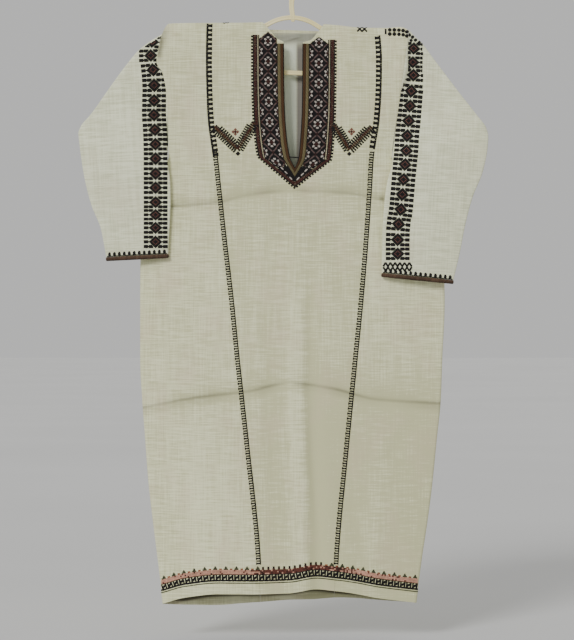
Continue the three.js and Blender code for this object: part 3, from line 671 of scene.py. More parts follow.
def sleeve_cloth(side, look):
    """A sleeve: a flat tube from the armhole to the cuff."""
    share, facing = sleeve_ring(SLEEVE_STEPS, SLEEVE_FOLD_STEPS)
    t = np.concatenate([np.linspace(0, ELBOW, 60), np.linspace(ELBOW, CUFF, 60)[1:]])
    t, share = np.meshgrid(t, share, indexing="ij")
    facing = np.broadcast_to(facing, t.shape)
    relief = sleeve_relief(side, t, share, facing)
    outer = sleeve_point(side, t, share, facing, CLOTH / 2 + relief)
    inner = sleeve_point(side, t, share, facing, -CLOTH / 2 + relief)
    x = outer[..., 0]
    z = outer[..., 2]
    start = WEAVE_FROM[side]
    slope = 0.05 if side == "left" else -0.05
    layer = np.where(facing > 0, start, start + 90)
    thread = np.stack([x + slope * z + start, z - slope * x, layer], -1)
    # Painted light and shade on the sleeve's relief.
    tone = np.clip(relief * RELIEF_SHADING_A_MM, -SLEEVE_TONE, SLEEVE_TONE)
    # Painted shade along the right sleeve's seam, on its front face.
    seen = smooth(facing, 0.5, 1.0) * (1 - smooth(-z, 280, 330)) * (side == "right")
    shade = 0.32 * bell((x - right_seam(z) + 3) / 4.0) * seen
    keep = np.ones((t.shape[0] - 1, t.shape[1]), bool)
    return shell(f"sleeve_{side}", (outer, inner, thread, tone, shade), keep, look, closed=True)


# ---- stitches
THREADS = {
    "black": (15, 12, 12), "burgundy": (64, 33, 26), "khaki": (100, 90, 60), "white": (190, 180, 170),
    "coral": (196, 148, 126), "green": (62, 66, 44), "brown": (68, 43, 18), "orange": (140, 84, 56),
    "straw": (172, 162, 132), "rust": (116, 74, 62), "brick": (100, 54, 44), "mauve": (104, 84, 80),
}
(BLACK, BURGUNDY, KHAKI, WHITE, CORAL, GREEN,
 BROWN, ORANGE, STRAW, RUST, BRICK, MAUVE) = range(len(THREADS))
THREAD_HIGH = 0.75  # how far stitches stand out
LEAF_RISE = 0.6  # the leaves lie on other stitches
UNEVEN_TURN = 0.10  # how far a pad may be turned off its line, in radians
pads = {}  # piece name: list of arrays with x, z, length, width, angle, thread number


def stitch(piece, x, z, long, wide, angle, thread):
    """Adds raised pads of thread, each turned by its angle, to a piece."""
    fields = np.broadcast_arrays(*(np.asarray(v, float) for v in (x, z, long, wide, angle, thread)))
    pads.setdefault(piece, []).append(np.stack([f.ravel() for f in fields], -1))


def dot(piece, x, z, long, angle):
    """A round black dot of two crossed pads."""
    stitch(piece, x, z, long, 4.4, angle, BLACK)
    stitch(piece, x, z, 4.4, long, angle, BLACK)


def walk(path, pitch, trim=0.0):
    """Points every pitch along a path of (x, z), less trim at its ends, and the path's angle there."""
    path = np.array(path, float)
    steps = np.linalg.norm(np.diff(path, axis=0), axis=1)
    far = np.concatenate([[0], np.cumsum(steps)])
    length = far[-1] - 2 * trim
    count = max(1, int(round(length / pitch)))
    at = trim + (np.arange(count) + 0.5) * length / count
    x, ahead_x, behind_x = (np.interp(at + step, far, path[:, 0]) for step in (0, 2, -2))
    z, ahead_z, behind_z = (np.interp(at + step, far, path[:, 1]) for step in (0, 2, -2))
    return x, z, np.arctan2(ahead_z - behind_z, ahead_x - behind_x)


def run(piece, path, pitch, off, wide, thread, long=None, every=1, phase=0, trim=0.0):
    """A row of pads beside a path, off to its left by off. every=2 leaves out each second one."""
    x, z, angle = (part[phase::every] for part in walk(path, pitch, trim))
    long = pitch * 0.96 if long is None else long
    stitch(piece, x - np.sin(angle) * off, z + np.cos(angle) * off, long, wide, angle, thread)


def sew(piece, place, looks):
    """Makes the pads of a piece into one mesh."""
    x, z, long, wide, angle, thread = np.concatenate(pads[piece]).T
    under = LEAF_RISE if piece == "stitch_leaves" else 0.0
    jitter = scatter(x, z)
    other = scatter(z, x, 7)
    angle = (angle + (other - 0.5) * UNEVEN_TURN)[:, None]
    corners = np.array([(-1, -1), (1, -1), (1, 1), (-1, 1)]) / 2
    points = []
    # A pad's foot is a little below the cloth's face, and its top is smaller.
    for grow, lift in ((1.06, -0.1), (0.80, THREAD_HIGH)):
        along = corners[None, :, 0] * (long * (0.93 + 0.12 * jitter))[:, None] * grow
        across = corners[None, :, 1] * (wide * (0.93 + 0.12 * other))[:, None] * grow
        at_x = x[:, None] + along * np.cos(angle) - across * np.sin(angle)
        at_z = z[:, None] + along * np.sin(angle) + across * np.cos(angle)
        high = np.full(at_x.shape, lift) * (0.8 + 0.4 * jitter)[:, None]
        points.append(place(at_x, at_z, CLOTH / 2 + high + under))
    points = np.concatenate(points, 1).reshape(-1, 3)
    box = np.array([(0, 1, 5, 4), (1, 2, 6, 5), (2, 3, 7, 6), (3, 0, 4, 7), (4, 5, 6, 7), (3, 2, 1, 0)])
    faces = (box[None] + 8 * np.arange(len(x))[:, None, None]).reshape(-1, 4).tolist()
    kinds = sorted(set(thread.astype(int)))
    face_look = np.repeat([kinds.index(int(k)) for k in thread], len(box))
    strands = np.stack([at_x, at_z, at_x * 0], -1)
    strands = np.concatenate([strands, strands], 1).reshape(-1, 3) * MM
    attributes = {"shade": np.repeat(0.72 + 0.56 * jitter, 8), "thread": strands}
    return new_object(piece, points, faces, [looks[k] for k in kinds], attributes, face_look)


def body_place(face):
    """What puts a stitch on a face of the body."""

    def place(x, z, lift):
        extra = np.where(z < row_height(face, x, HEM_Z + HEM_TURN), HEM_EXTRA, 0.0)
        return on_body(face, x, nominal(face, x, z), lift + extra)

    return place


def sleeve_place(side):
    """What puts a stitch on the front face of a sleeve."""
    return lambda x, z, lift: on_sleeve(side, x, z, lift)


# ---- the chest panel
CHEST = "stitch_chest"
CHEST_TOP = {"left": -133.0, "right": -143.0}
CHEST_WIDE = 65.0
CHEST_TIP = (3.6, -443.0)
CHEST_PITCH = 3.3
FIELD = (13.5, 48.5)  # the field's two edges, outside the slit
# White leaves in the panel's tip: x, z, tilt.
LEAVES = [
    (-22, -401, -0.75), (-14, -409.5, -0.75), (-4.5, -421, -0.8), (10, -421.5, 0.8),
    (18.6, -413, 0.75), (26, -405, 0.75),
]
# Plain strips: distance outside the slit, width, thread. The inner ones stop above the V.
INNER_STRIPS = [(49.4, 2.0, BLACK), (51.4, 2.1, STRAW), (53.4, 2.2, BLACK)]
OUTER_STRIPS = [(55.7, 3.5, BURGUNDY), (58.4, 3.3, BURGUNDY), (60.6, 2.4, BLACK)]
# Strips by their distance outside the slit: where the field's chart ends, where it turns all black,
# the tip's black ground above, below and beside, the toothed border, and the black round the braid.
CHART_LOW = 53.0
CHART_BLACK = 49.0
TIP_HIGH = 13.0
TIP_LOW = 54.2
TIP_BESIDE = 48.9
TEETH = 63.0
BRAID_BLACK = 12.9
TIP_CELL = 1.9
ROSETTE_PITCH = 40.6
HALF_FIELD = 10  # columns of the chart on each side of its middle one
HALF_REPEAT = 12  # rows of the chart from a rosette's middle, half way to the next one
CHART_END = 170  # more rows than reach the V
ROSETTE_FIRST = {"left": -146.0, "right": -150.0}
# A white rosette of six petals round a dark red middle, drawn on squared paper: its upper half
# and its middle row, which the lower half mirrors.
ROSETTE = [
    "....www....",
    "....www....",
    ".ww.....ww.",
    ".www.r.www.",
    "..w.rrr.w..",
    "...rrbrr...",
]
ROSETTE += ROSETTE[-2::-1]


def chest_x(side, z, d):
    """The x of the line that lies d outside the slit's edge."""
    column = 1 if side == "left" else 2
    slit_x = curve(NECK_EDGE, np.minimum(z, -152.0), column)
    if side == "left":
        return slit_x - d
    return slit_x + d + 0.05 * np.maximum(d - 12, 0)


def v_line(d):
    """Left shoulder, tip and right shoulder of the V that a strip makes below the slit."""
    inside = d < FIELD[0]
    start = -384.0 if inside else -378.0
    tip_z = SLIT_Z - 1.4 * d if inside else CHEST_TIP[1] + (CHEST_WIDE - d) * 1.32
    left = (chest_x("left", start, d), start)
    right = (chest_x("right", start - 6, d), start - 6)
    return [left, (CHEST_TIP[0], tip_z), right]


def v_height(d, x):
    """The height of a strip's V at x."""
    left, tip, right = v_line(d)
    slope_left = (left[1] - tip[1]) / (tip[0] - left[0])
    slope_right = (right[1] - tip[1]) / (right[0] - tip[0])
    return tip[1] + np.where(x < tip[0], slope_left, slope_right) * np.abs(x - tip[0])


def chest_sides(side, d, low=-372.0):
    """One side of a strip, from its top down."""
    return [(chest_x(side, z, d), z) for z in np.linspace(CHEST_TOP[side], low, 24)]


def chest_path(d):
    """A strip's path: down the left side, round the V and up the right side."""
    return chest_sides("left", d) + v_line(d) + chest_sides("right", d)[::-1]


def rosette_cell(column, row):
    """What the rosette has at a cell counted from its centre, or None."""
    reach = len(ROSETTE) // 2
    if abs(column) > reach or abs(row) > reach:
        return None
    letter = ROSETTE[row + reach][column + reach]
    return {"w": WHITE, "r": BURGUNDY, "b": BLACK}.get(letter)


def field_thread(column, row):
    """The thread of the field at a column and a row of one repeat, counted from a rosette's middle."""
    found = rosette_cell(column, row)
    if found is None:
        side_row = row - HALF_REPEAT if row > 0 else row + HALF_REPEAT
        beside = HALF_FIELD + 1
        found = rosette_cell(column - beside if column > 0 else column + beside, side_row)
    if found is not None:
        return found
    lattice = abs(column) / HALF_FIELD + abs(row) / HALF_REPEAT
    if not 0.93 < lattice < 1.10:
        return BLACK
    return BURGUNDY if abs(row) < 2 or abs(row) > 10 else MAUVE


def above_tip(d, z):
    """Whether a place d outside the slit is above the slanting end of the field's chart."""
    return z > -396 - 0.3 * (d - 13)


def chest_field(side):
    """The field's chart beside the slit, down to the V."""
    repeat = 2 * HALF_REPEAT
    cell = (FIELD[1] - FIELD[0]) / (2 * HALF_FIELD + 1)
    tall = ROSETTE_PITCH / repeat
    rows = np.arange(-HALF_REPEAT, CHART_END)
    z = ROSETTE_FIRST[side] - rows * tall
    for column in range(-HALF_FIELD, HALF_FIELD + 1):
        d = FIELD[0] + (column + HALF_FIELD + 0.5) * cell
        x = chest_x(side, z, d)
        places = (rows + HALF_REPEAT) % repeat - HALF_REPEAT
        threads = np.array([field_thread(column, int(row)) for row in places])
        peak = CHEST_TOP[side] + 6 - 0.8 * abs(d - sum(FIELD) / 2)
        clear = (z < peak) & (z > v_height(CHART_LOW, x)) & above_tip(d, z)
        threads = np.where(z < v_height(CHART_BLACK, x), BLACK, threads)
        stitch(CHEST, x[clear], z[clear], cell * 1.1, tall * 1.1, 0.0, threads[clear])


def chest_tip():
    """Black between the braid's V and the burgundy V, with white leaves on it."""
    for z in np.arange(-384.0, -434.0, -TIP_CELL):
        x = np.arange(-72.0, 80.0, TIP_CELL)
        beside = np.where(x < CHEST_TIP[0], chest_x("left", z, 0) - x, x - chest_x("right", z, 0))
        charted = (beside < TIP_BESIDE) & above_tip(beside, z)
        clear = (z < v_height(TIP_HIGH, x) - 0.5) & (z > v_height(TIP_LOW, x)) & ~charted
        stitch(CHEST, x[clear], z, 2.1, 2.1, 0.0, BLACK)
    for x, z, tilt in LEAVES:
        for off in (-2.4, 0.0, 2.4):
            leaf_x = x + off * math.cos(tilt)
            leaf_z = z + off * math.sin(tilt)
            stitch("stitch_leaves", leaf_x, leaf_z, 2.6, 2.9 - 0.3 * abs(off), tilt, WHITE)


def chest_panel():
    """The field, the strips and the toothed border on both sides of the slit, and the tip."""
    for side in ("left", "right"):
        chest_field(side)
        for d, wide, thread in INNER_STRIPS:
            run(CHEST, chest_sides(side, d, -384.0 + 0.55 * (d - 49)), CHEST_PITCH, 0.0, wide, thread)
    run(CHEST, braid_path(BRAID_BLACK), CHEST_PITCH, 0.0, 2.2, BLACK)
    for d, wide, thread in OUTER_STRIPS:
        run(CHEST, chest_path(d), CHEST_PITCH, 0.0, wide, thread)
    run(CHEST, chest_path(TEETH), 2 * CHEST_PITCH, 0.0, 4.4, BLACK, long=4.0)
    chest_tip()
    stitch(CHEST, 3.0, -379.0, 22.0, 2.2, -0.12, BLACK)


# ---- the rest of the embroidery
# Places as seen from the front, in steps of 2 mm: px() turns them into x and z. A chevron is the
# three corners of its V and its flower.
CHEVRONS = [
    ((214.5, 126.6), (238.0, 149.2), (254.4, 122.6), (235.4, 132.0)),
    ((334.0, 125.0), (349.2, 149.4), (372.0, 126.6), (351.5, 131.7)),
]
LEFT_HATCH = (223.6, 22.6)
RIGHT_HATCH = (358.6, 27.2)
SHOULDER_STROKE = (385.9, 31.0)
SHOULDER_DOTS = [
    (390.0, 29.2), (394.6, 29.2), (399.2, 29.4), (403.4, 29.8), (407.2, 31.0), (410.8, 34.4),
]
CORNER_DOTS = [(409.6, 34.2), (412.8, 36.4), (411.4, 39.8), (415.8, 39.4), (419.6, 41.6)]
CUFF_HATCH = (384.0, 267.0)
# Rows of a cuff's teeth: height above the sleeve's end, pitch, width and length of a pad.
CUFF_ROWS = [(1.2, 4.0, 2.0, None), (4.6, 10.2, 5.4, 5.8), (7.8, 10.2, 2.4, 3.6)]
# The centres of the diamonds of the two sleeve bands.
LEFT_BAND = [
    (152, 41), (150.5, 55), (152.8, 69.5), (154, 85), (154, 100.5), (154, 115), (155, 130),
    (155.7, 144.5), (156, 159), (156, 174), (156, 188), (156, 202.5), (156, 215), (156, 228),
    (156, 242),
]
RIGHT_BAND = [
    (413.9, 48), (413, 62), (413.5, 75), (411.3, 91), (409.9, 106), (408.6, 121), (407, 136),
    (406, 151), (404.5, 165), (403, 180), (401.7, 195), (400.3, 210), (398, 224.5),
    (397.2, 240), (397.2, 254),
]
# One repeat of the sleeve band on squared paper: k black, r rust. The lower half mirrors the upper.
BAND = [
    ".......................",
    "kkkk.kkkk..k..kkkk.kkkk",
    "kkkkkkkkk.kkk.kkkkkkkkk",
    "kkkk.kkk.kkkkk.kkk.kkkk",
    "........kkkrkkk........",
    ".......kkkrkrkkk.......",
    "kkkk..kkkrkkkrkkk..kkkk",
    "kkkkkkkkrkkkkkrkkkkkkkk",
]
BAND += BAND[-2::-1]
PIXEL = 2.0  # millimetres to a pixel
ORIGIN_PIXEL = (293.0, -32.0)  # where the hook bears, above the photograph's top edge
RIGHT_BAND_EDGE = 259.5
RIGHT_SEAM_LOW = -306  # below this the right sleeve's seam doesn't cut into its band
BAND_CELL = 2.02
BAND_THREADS = {"k": (BLACK, 1.5), "r": (RUST, 1.0)}  # thread, size of its pad in cells


def px(x, y):
    """A place on the shirt from a pixel of the photograph."""
    return PIXEL * (x - ORIGIN_PIXEL[0]), -PIXEL * (y - ORIGIN_PIXEL[1])


def seam_path(column, from_z, to_z):
    z = np.linspace(from_z, to_z, 80)
    return np.stack([curve(SIDE_SEAM, z, column), z], -1)


def armhole_ladder(piece, column):
    """The heavy ladder at the top of a side seam: a line with round teeth toward the middle."""
    top, low, inward = (-110.0, -378.0, 1) if column == 1 else (-134.0, -362.0, -1)
    path = seam_path(column, top, low)
    run(piece, path, 4.7, -inward * 3.2, 4.2, BLACK)
    run(piece, path, 9.4, inward * 1.4, 6.4, BLACK, long=5.4)
    run(piece, path, 9.4, inward * 5.2, 3.4, BLACK, long=6.6)


def fine_ladder(piece, column):
    """The fine ladder that joins the lengths down to the hem."""
    path = seam_path(column, -366.0, -1192.0)
    run(piece, path, 5.0, 0.0, 8.6, BLACK, long=2.7)
    run(piece, path, 5.0, 3.8, 2.4, BLACK)
    run(piece, path, 5.0, -3.8, 2.4, BLACK, long=4.8, every=2, phase=1)
    run(piece, path, 5.0, 0.0, 3.4, BROWN, long=1.6, every=3)


def chevron(points):
    """A burgundy V with black teeth on both sides, and a flower in its fork."""
    *path, (x, z) = (px(*point) for point in points)
    piece = "stitch_chevrons"
    for off, wide, thread, long in ((1.4, 2.9, BURGUNDY, 4.3), (-1.4, 2.9, BROWN, 4.3),
                                    (4.1, 3.0, BLACK, 4.0), (-4.1, 3.0, BLACK, 4.0)):
        run(piece, path, 4.6, off, wide, thread, long=long)
    for leg in (path[:2], path[1:]):
        run(piece, leg, 5.2, 8.2, 6.6, BLACK, long=3.5, trim=9)
        run(piece, leg, 5.2, -8.2, 6.6, BLACK, long=3.5)
    tip_x, tip_z = path[1]
    stitch(piece, tip_x, tip_z - 9.0, 7.0, 7.0, math.pi / 4, BLACK)
    for step_x, step_z in ((0, 4.4), (0, -4.4), (4.4, 0), (-4.4, 0)):
        stitch(piece, x + step_x, z + step_z, 5.2, 5.0, math.pi / 4, RUST)
    stitch(piece, x, z, 4.6, 4.6, math.pi / 4, BURGUNDY)


def shoulder_motifs():
    """Tiny hatches at the neck ends and two rows of dots on the right shoulder."""
    piece = "stitch_chevrons"
    for k in range(4):
        x, z = px(LEFT_HATCH[0] + 1.5 * k, LEFT_HATCH[1] - 0.3 * k)
        stitch(piece, x, z, 3.4, 1.6, 0.8 if k % 2 else -0.8, BLACK)
    for k in range(4):
        for row in (0, 1):
            x, z = px(RIGHT_HATCH[0] + 2.4 * k, RIGHT_HATCH[1] + 2.5 * row)
            stitch(piece, x, z, 7.4, 3.4, 0.8 if (k + row) % 2 else -0.8, BLACK)
    stitch(piece, *px(*SHOULDER_STROKE), 4.4, 11.0, 0.0, BLACK)
    for k, (x, y) in enumerate(SHOULDER_DOTS):
        for below in (0.0, 4.2) if k < 5 else (0.0,):
            dot(piece, *px(x, y + below), 7.4, 0.0)


def left_band_fits(x, z):
    """Whether a stitch of the left band lies between the sleeve's seam and its sloping top."""
    seam = mix(-268, -250.5, smooth(-z, 150, 215)) + 8 * (1 - smooth(-z, 130, 165))
    return x < seam and z < -161 + 0.667 * (x + 304)


def right_band_fits(x, z):
    """Whether a stitch of the right band lies between the seam and the band's straight edge."""
    return x < RIGHT_BAND_EDGE and (x > right_seam(z) - 3 or z < RIGHT_SEAM_LOW)


def sleeve_band(piece, centres, fits):
    """Repeats the band's chart at each centre, turned to follow the band."""
    places = np.array([px(*c) for c in centres])
    for (x, z), (ahead_x, ahead_z) in zip(places, np.gradient(places, axis=0)):
        angle = math.atan2(ahead_z, ahead_x) + math.pi / 2
        cell = math.hypot(ahead_x, ahead_z) / len(BAND)
        for row, letters in enumerate(BAND):
            for column, letter in enumerate(letters):
                across = (column - len(letters) // 2) * BAND_CELL
                down = (row - len(BAND) // 2) * cell
                at_x = x + across * math.cos(angle) + down * math.sin(angle)
                at_z = z + across * math.sin(angle) - down * math.cos(angle)
                if letter in BAND_THREADS and fits(at_x, at_z):
                    thread, fill = BAND_THREADS[letter]
                    stitch(piece, at_x, at_z, BAND_CELL * fill, cell * fill, angle, thread)


def cuff_teeth(piece, side):
    """Teeth along a cuff: a line and two sizes of pad."""
    inner, outer, _ = sleeve_ends(side, np.array(CUFF))
    ends = (inner, outer) if side == "right" else (outer, inner)
    for rise, pitch, wide, long in CUFF_ROWS:
        path = [(ends[0][0] + 1.5, ends[0][2] + rise), (ends[1][0] - 1.5, ends[1][2] + rise)]
        run(piece, path, pitch, 0.0, wide, BLACK, long=long)


def cuff_end(piece):
    """The diagonal block at the end of the right band, and the dots over the sleeve's top corner."""
    for k in range(12):
        x, z = px(CUFF_HATCH[0] + 2.35 * k, CUFF_HATCH[1])
        tilt = 0.55 if k % 2 else -0.55
        stitch(piece, x, z + 4.5, 3.8, 9.4, tilt, BLACK)
        stitch(piece, x, z - 4.5, 3.8, 9.4, -tilt, BLACK)
    for place in CORNER_DOTS:
        dot(piece, *px(*place), 6.6, 0.6)


def hem_line(face, rise):
    """A line round the face at a height above the hem, past both side folds."""
    x = np.linspace(-264, 250, 160)
    z = row_height(face, x, np.full(x.shape, HEM_Z + HEM_TURN)) + rise - 2.0
    return np.stack([x, z], -1)


def hem_border(face):
    """Lines, crossed black blocks and a coral band round the hem."""
    piece = f"stitch_hem_{face}"
    run(piece, hem_line(face, -1.4), 3.4, 0.0, 2.0, GREEN)
    run(piece, hem_line(face, 3.4), 3.4, 0.0, 3.6, BLACK)
    x, z, angle = walk(hem_line(face, 9.6), 12.4)
    for off in (-3.9, 3.9):
        stitch(piece, x + off * np.cos(angle), z + off * np.sin(angle), 3.2, 9.8, angle, BLACK)
    stitch(piece, x, z, 10.5, 2.9, angle + 0.85, BLACK)
    stitch(piece, x, z, 5.0, 3.0, angle - 0.85, BLACK)
    x, z, angle = walk(hem_line(face, 15.2), 3.4)
    stitch(piece, x, z, 3.4, 1.8, angle, np.where(np.abs(x) < 130, BLACK, BROWN))
    for rise in (17.4, 20.3, 23.2):
        x, z, angle = walk(hem_line(face, rise), 3.1)
        inner = 0.10 + 0.78 * np.exp(-(((x - 16) / 92.0) ** 4))
        middle = np.where(scatter(z, rise) < 0.3, BURGUNDY, BRICK)
        stitch(piece, x, z, 3.1, 3.2, angle, np.where(scatter(x, rise) < inner, middle, CORAL))
    hem_triangles(piece, face)


def hem_triangles(piece, face):
    """Green-black steps along the coral band: wide apart at the sides, close in the middle."""
    x, z, angle = walk(hem_line(face, 26.2), 10.6)
    middle = np.abs(x + 2) < 64
    big = (np.arange(len(x)) % 2 == 0) & ~middle
    small = ~big & ~middle
    for chosen, rise, long, wide, thread in (
        (big, 0.0, 8.6, 2.6, GREEN), (big, 2.4, 5.0, 2.6, GREEN), (big, 4.6, 2.4, 2.2, BLACK),
        (small, 0.0, 5.4, 2.6, ORANGE),
        (middle, 0.0, 4.6, 2.6, BURGUNDY), (middle, 2.6, 4.0, 4.0, BLACK),
    ):
        stitch(piece, x[chosen], z[chosen] + rise, long, wide, angle[chosen], thread)


def embroidery(looks):
    """All stitches, by piece."""
    chest_panel()
    for points in CHEVRONS:
        chevron(points)
    shoulder_motifs()
    for face in ("front", "back"):
        for column in (1, 2):
            armhole_ladder(f"stitch_ladders_{face}", column)
            fine_ladder(f"stitch_ladders_{face}", column)
        hem_border(face)
    sleeve_band("stitch_band_left", LEFT_BAND, left_band_fits)
    sleeve_band("stitch_band_right", RIGHT_BAND, right_band_fits)
    cuff_teeth("stitch_band_left", "left")
    cuff_teeth("stitch_band_right", "right")
    cuff_end("stitch_band_right")
    pieces = {}
    for name in pads:
        place = body_place("back" if name.endswith("back") else "front")
        if "band" in name:
            place = sleeve_place("left" if name.endswith("left") else "right")
        pieces[name] = sew(name, place, looks)
    return pieces


# ---- braid, edging and hanger
BRAID_OFFS = np.linspace(BRAID_WIDE - 1.0, -1.0, 30)
CORD_EDGE = 5.9  # where the braid's two cords meet, outside the slit
# The hanger's bar: its section, the radii of its arch and of its ends, the fall of its arms and its
# own tilt in degrees, and the heights of the arch's top and of the lower bar.
HANGER = {
    "tall": 9.0, "thick": 5.0, "groove": 0.8, "arch": 88.0, "corner": 14.0, "slope": 30, "tilt": 2,
    "top": -97.2, "bar": -208.0,
}
HOOK = {"tall": 11.0, "thick": 6.0, "groove": 0.7, "inner": 16.0}
# The hook's stem: x, height above the top of the hanger's arch.
STEM = [
    (0, -8), (0, -2), (-1, 6), (-2, 12), (-2.8, 20), (-3, 28), (-2.4, 36), (-1.5, 42), (0.3, 47),
    (3, 52),
]


def braid_path(d):
    """The line that runs d outside the slit's edge: down, round the mitred V and up again."""
    down = np.arange(-151.0, -383.0, -2.2)
    right_down = down - 6 * smooth(-down, 151, 383)
    shoulder_left, tip, shoulder_right = np.array(v_line(d))
    left = [(chest_x("left", z, d), z) for z in down]
    right = [(chest_x("right", z, d), z) for z in right_down]
    share = np.linspace(0, 1, 12)
    left_v = [tuple(mix(shoulder_left, tip, k)) for k in share]
    right_v = [tuple(mix(shoulder_right, tip, k)) for k in share[:-1]]
    return np.array(left + left_v + right_v[::-1] + right[::-1])


def slit_braid(looks):
    """Two sewn cords side by side round the slit, brown and khaki, with black between."""
    x, z = np.moveaxis(np.stack([braid_path(d) for d in BRAID_OFFS], 1), -1, 0)
    off = BRAID_OFFS[None, :]
    inner_cord = (off + 1) / (CORD_EDGE + 1)
    outer_cord = (off - CORD_EDGE) / (BRAID_WIDE - 1 - CORD_EDGE)
    hump = np.sin(np.clip(np.where(off < CORD_EDGE, inner_cord, outer_cord), 0, 1) * math.pi) ** 0.6
    twist = 0.5 + 0.5 * np.sin(np.arange(len(x))[:, None] * 1.9 + off * 1.3)
    lift = CLOTH / 2 + SEAM + 0.5 + BRAID_HIGH * hump * (0.62 + 0.38 * twist)
    z0 = nominal("front", x, z)
    outer = on_body("front", x, z0, lift)
    inner = on_body("front", x, z0, np.full(x.shape, CLOTH / 2 + 0.05))
    faces = shell_faces(all_cells(x))
    points = np.concatenate([outer.reshape(-1, 3), inner.reshape(-1, 3)])
    middle = np.concatenate([np.tile(BRAID_OFFS, len(x))] * 2)[faces].mean(1)
    face_look = np.select([middle < 0.6, middle < 5.6, middle < 6.3], [2, 0, 2], 1)
    shade = np.concatenate([(0.7 + 0.55 * twist * np.ones(x.shape)).ravel()] * 2)
    attributes = {"shade": shade, "thread": points * MM}
    chosen = [looks[BROWN], looks[KHAKI], looks[BLACK]]
    return new_object("slit_braid_dressed", points, faces.tolist(), chosen, attributes,
                      face_look, node="slit_braid")


def cuff_edging(side, look):
    """Brown wool sewn over and over round the cuff's edge."""
    share, facing = sleeve_ring(88, 8)
    turn = np.linspace(0, 2 * math.pi, 13)[None, :-1]
    k = np.arange(len(share))[:, None]
    rib = 0.82 + 0.18 * np.abs(np.sin(k * 1.55))
    size = rib * (1 + 0.06 * np.sin(k * 0.37))
    drop = 4.3 - 3.9 * np.cos(turn) * (0.9 + 0.1 * size)
    lift = 1.8 * np.sin(turn) * size
    t = np.full(drop.shape, CUFF)
    share = np.broadcast_to(share[:, None], t.shape)
    facing = np.broadcast_to(facing[:, None], t.shape)
    points = sleeve_point(side, t, share, facing, lift, drop).reshape(-1, 3)
    faces = ring_faces(len(k), turn.size, True)
    flecks = np.where(scatter(k, 3.0) < 0.3, 0.55, 0.0)
    # Painted light and shade: the wool's upper side lighter, its lower side darker; the ribs and flecks
    # are its own.
    shade = 0.45 + 0.35 * (rib - 0.8) / 0.2 + flecks + 0.5 * np.cos(turn)
    attributes = {"shade": shade.ravel(), "thread": points * MM}
    node = f"cuff_edging_{side}"
    return new_object(f"{node}_dressed", points, faces.tolist(), [look], attributes, node=node)


def bar_section(tall, thick, groove):
    """A rounded bar with a shallow groove down its front and its back: up, out."""
    turn = np.linspace(0, 2 * math.pi, 33)[:-1]
    up = tall / 2 * np.sign(np.cos(turn)) * np.abs(np.cos(turn)) ** 0.55
    out = thick / 2 * np.sign(np.sin(turn)) * np.abs(np.sin(turn)) ** 0.45
    dip = groove * np.exp(-((up / (0.2 * tall)) ** 4))
    return np.stack([up, out - np.sign(out) * dip], -1)


def sweep(path, section, closed, scale=None):
    """Carries a section along a path in the XZ plane."""
    path = np.array(path, float)
    ahead = np.roll(path, -1, 0) - np.roll(path, 1, 0) if closed else np.gradient(path, axis=0)
    ahead = unit(ahead)
    scale = np.ones(len(path)) if scale is None else scale
    up = section[None, :, 0] * scale[:, None]
    x = path[:, None, 0] - ahead[:, None, 1] * up
    z = path[:, None, 1] + ahead[:, None, 0] * up
    y = np.broadcast_to(section[None, :, 1] * scale[:, None], x.shape)
    points = np.stack([x, y, z], -1).reshape(-1, 3)
    return points, ring_faces(len(path), len(section), closed)


def round_arc(centre, radius, start, end, steps):
    turn = np.linspace(start, end, steps + 1)
    return [(centre[0] + radius * math.cos(t), centre[1] + radius * math.sin(t)) for t in turn]


def hanger_frame_path():
    """The hanger's arch, its two arms, their round ends and the bar, tilted a little."""
    slope = math.radians(HANGER["slope"])
    corner = HANGER["corner"]
    drop = HANGER["top"] - HANGER["bar"]
    arch = HANGER["arch"]
    arch_end = (math.sin(slope) * arch, (math.cos(slope) - 1) * arch)
    corner_z = corner - drop
    arm_z = corner_z + corner * math.cos(slope)
    arm_x = arch_end[0] + (arch_end[1] - arm_z) / math.tan(slope)
    corner_x = arm_x - corner * math.sin(slope)
    half = round_arc((0, -arch), arch, math.pi / 2, math.pi / 2 - slope, 16)
    half += [(mix(arch_end[0], arm_x, k), mix(arch_end[1], arm_z, k)) for k in (0.2, 0.4, 0.6, 0.8)]
    half += round_arc((corner_x, corner_z), corner, math.pi / 2 - slope, -math.pi / 2, 14)
    half += [(corner_x * k, -drop) for k in (0.75, 0.5, 0.25)]
    full = half + [(0, -drop)] + [(-x, z) for x, z in half[:0:-1]]
    cos = math.cos(math.radians(HANGER["tilt"]))
    sin = -math.sin(math.radians(HANGER["tilt"]))
    return [(x * cos - z * sin, x * sin + z * cos + HANGER["top"]) for x, z in full]


def hook_path():
    """Up from the arch, a small bend to the right, then over the rod to the open end."""
    radius = HOOK["inner"] + HOOK["tall"] / 2
    turn = round_arc((0, -HOOK["inner"]), radius, -math.pi * 0.33, math.pi * 1.08, 40)
    return [(x, HANGER["top"] + up) for x, up in STEM] + turn


def hanger(look):
    """A grooved plastic hanger: its frame and its hook, rounded off at both ends."""
    section = bar_section(HANGER["tall"], HANGER["thick"], HANGER["groove"])
    points, faces = sweep(hanger_frame_path(), section, True)
    path = hook_path()
    share = np.linspace(0, 1, len(path))
    scale = 0.86 + 0.14 * smooth(share, 0.0, 0.2) - 0.5 * smooth(share, 0.965, 1.0)
    scale[0] = 0.5
    section = bar_section(HOOK["tall"], HOOK["thick"], HOOK["groove"])
    hook, hook_faces = sweep(path, section, False, scale)
    first = np.arange(len(section)) + len(points)
    last = first + len(hook) - len(section)
    mesh_faces = np.concatenate([faces, hook_faces + len(points)]).tolist()
    mesh_faces += [first[::-1].tolist(), last.tolist()]
    points = np.concatenate([points, hook])
    return new_object("hanger_dressed", points, mesh_faces, [look], node="hanger")


# ---- materials
def srgb(red, green, blue):
    """A linear colour from sRGB numbers up to 255."""
    values = np.array([red, green, blue]) / 255
    linear = np.where(values <= 0.04045, values / 12.92, ((values + 0.055) / 1.055) ** 2.4)
    return (*linear.tolist(), 1.0)


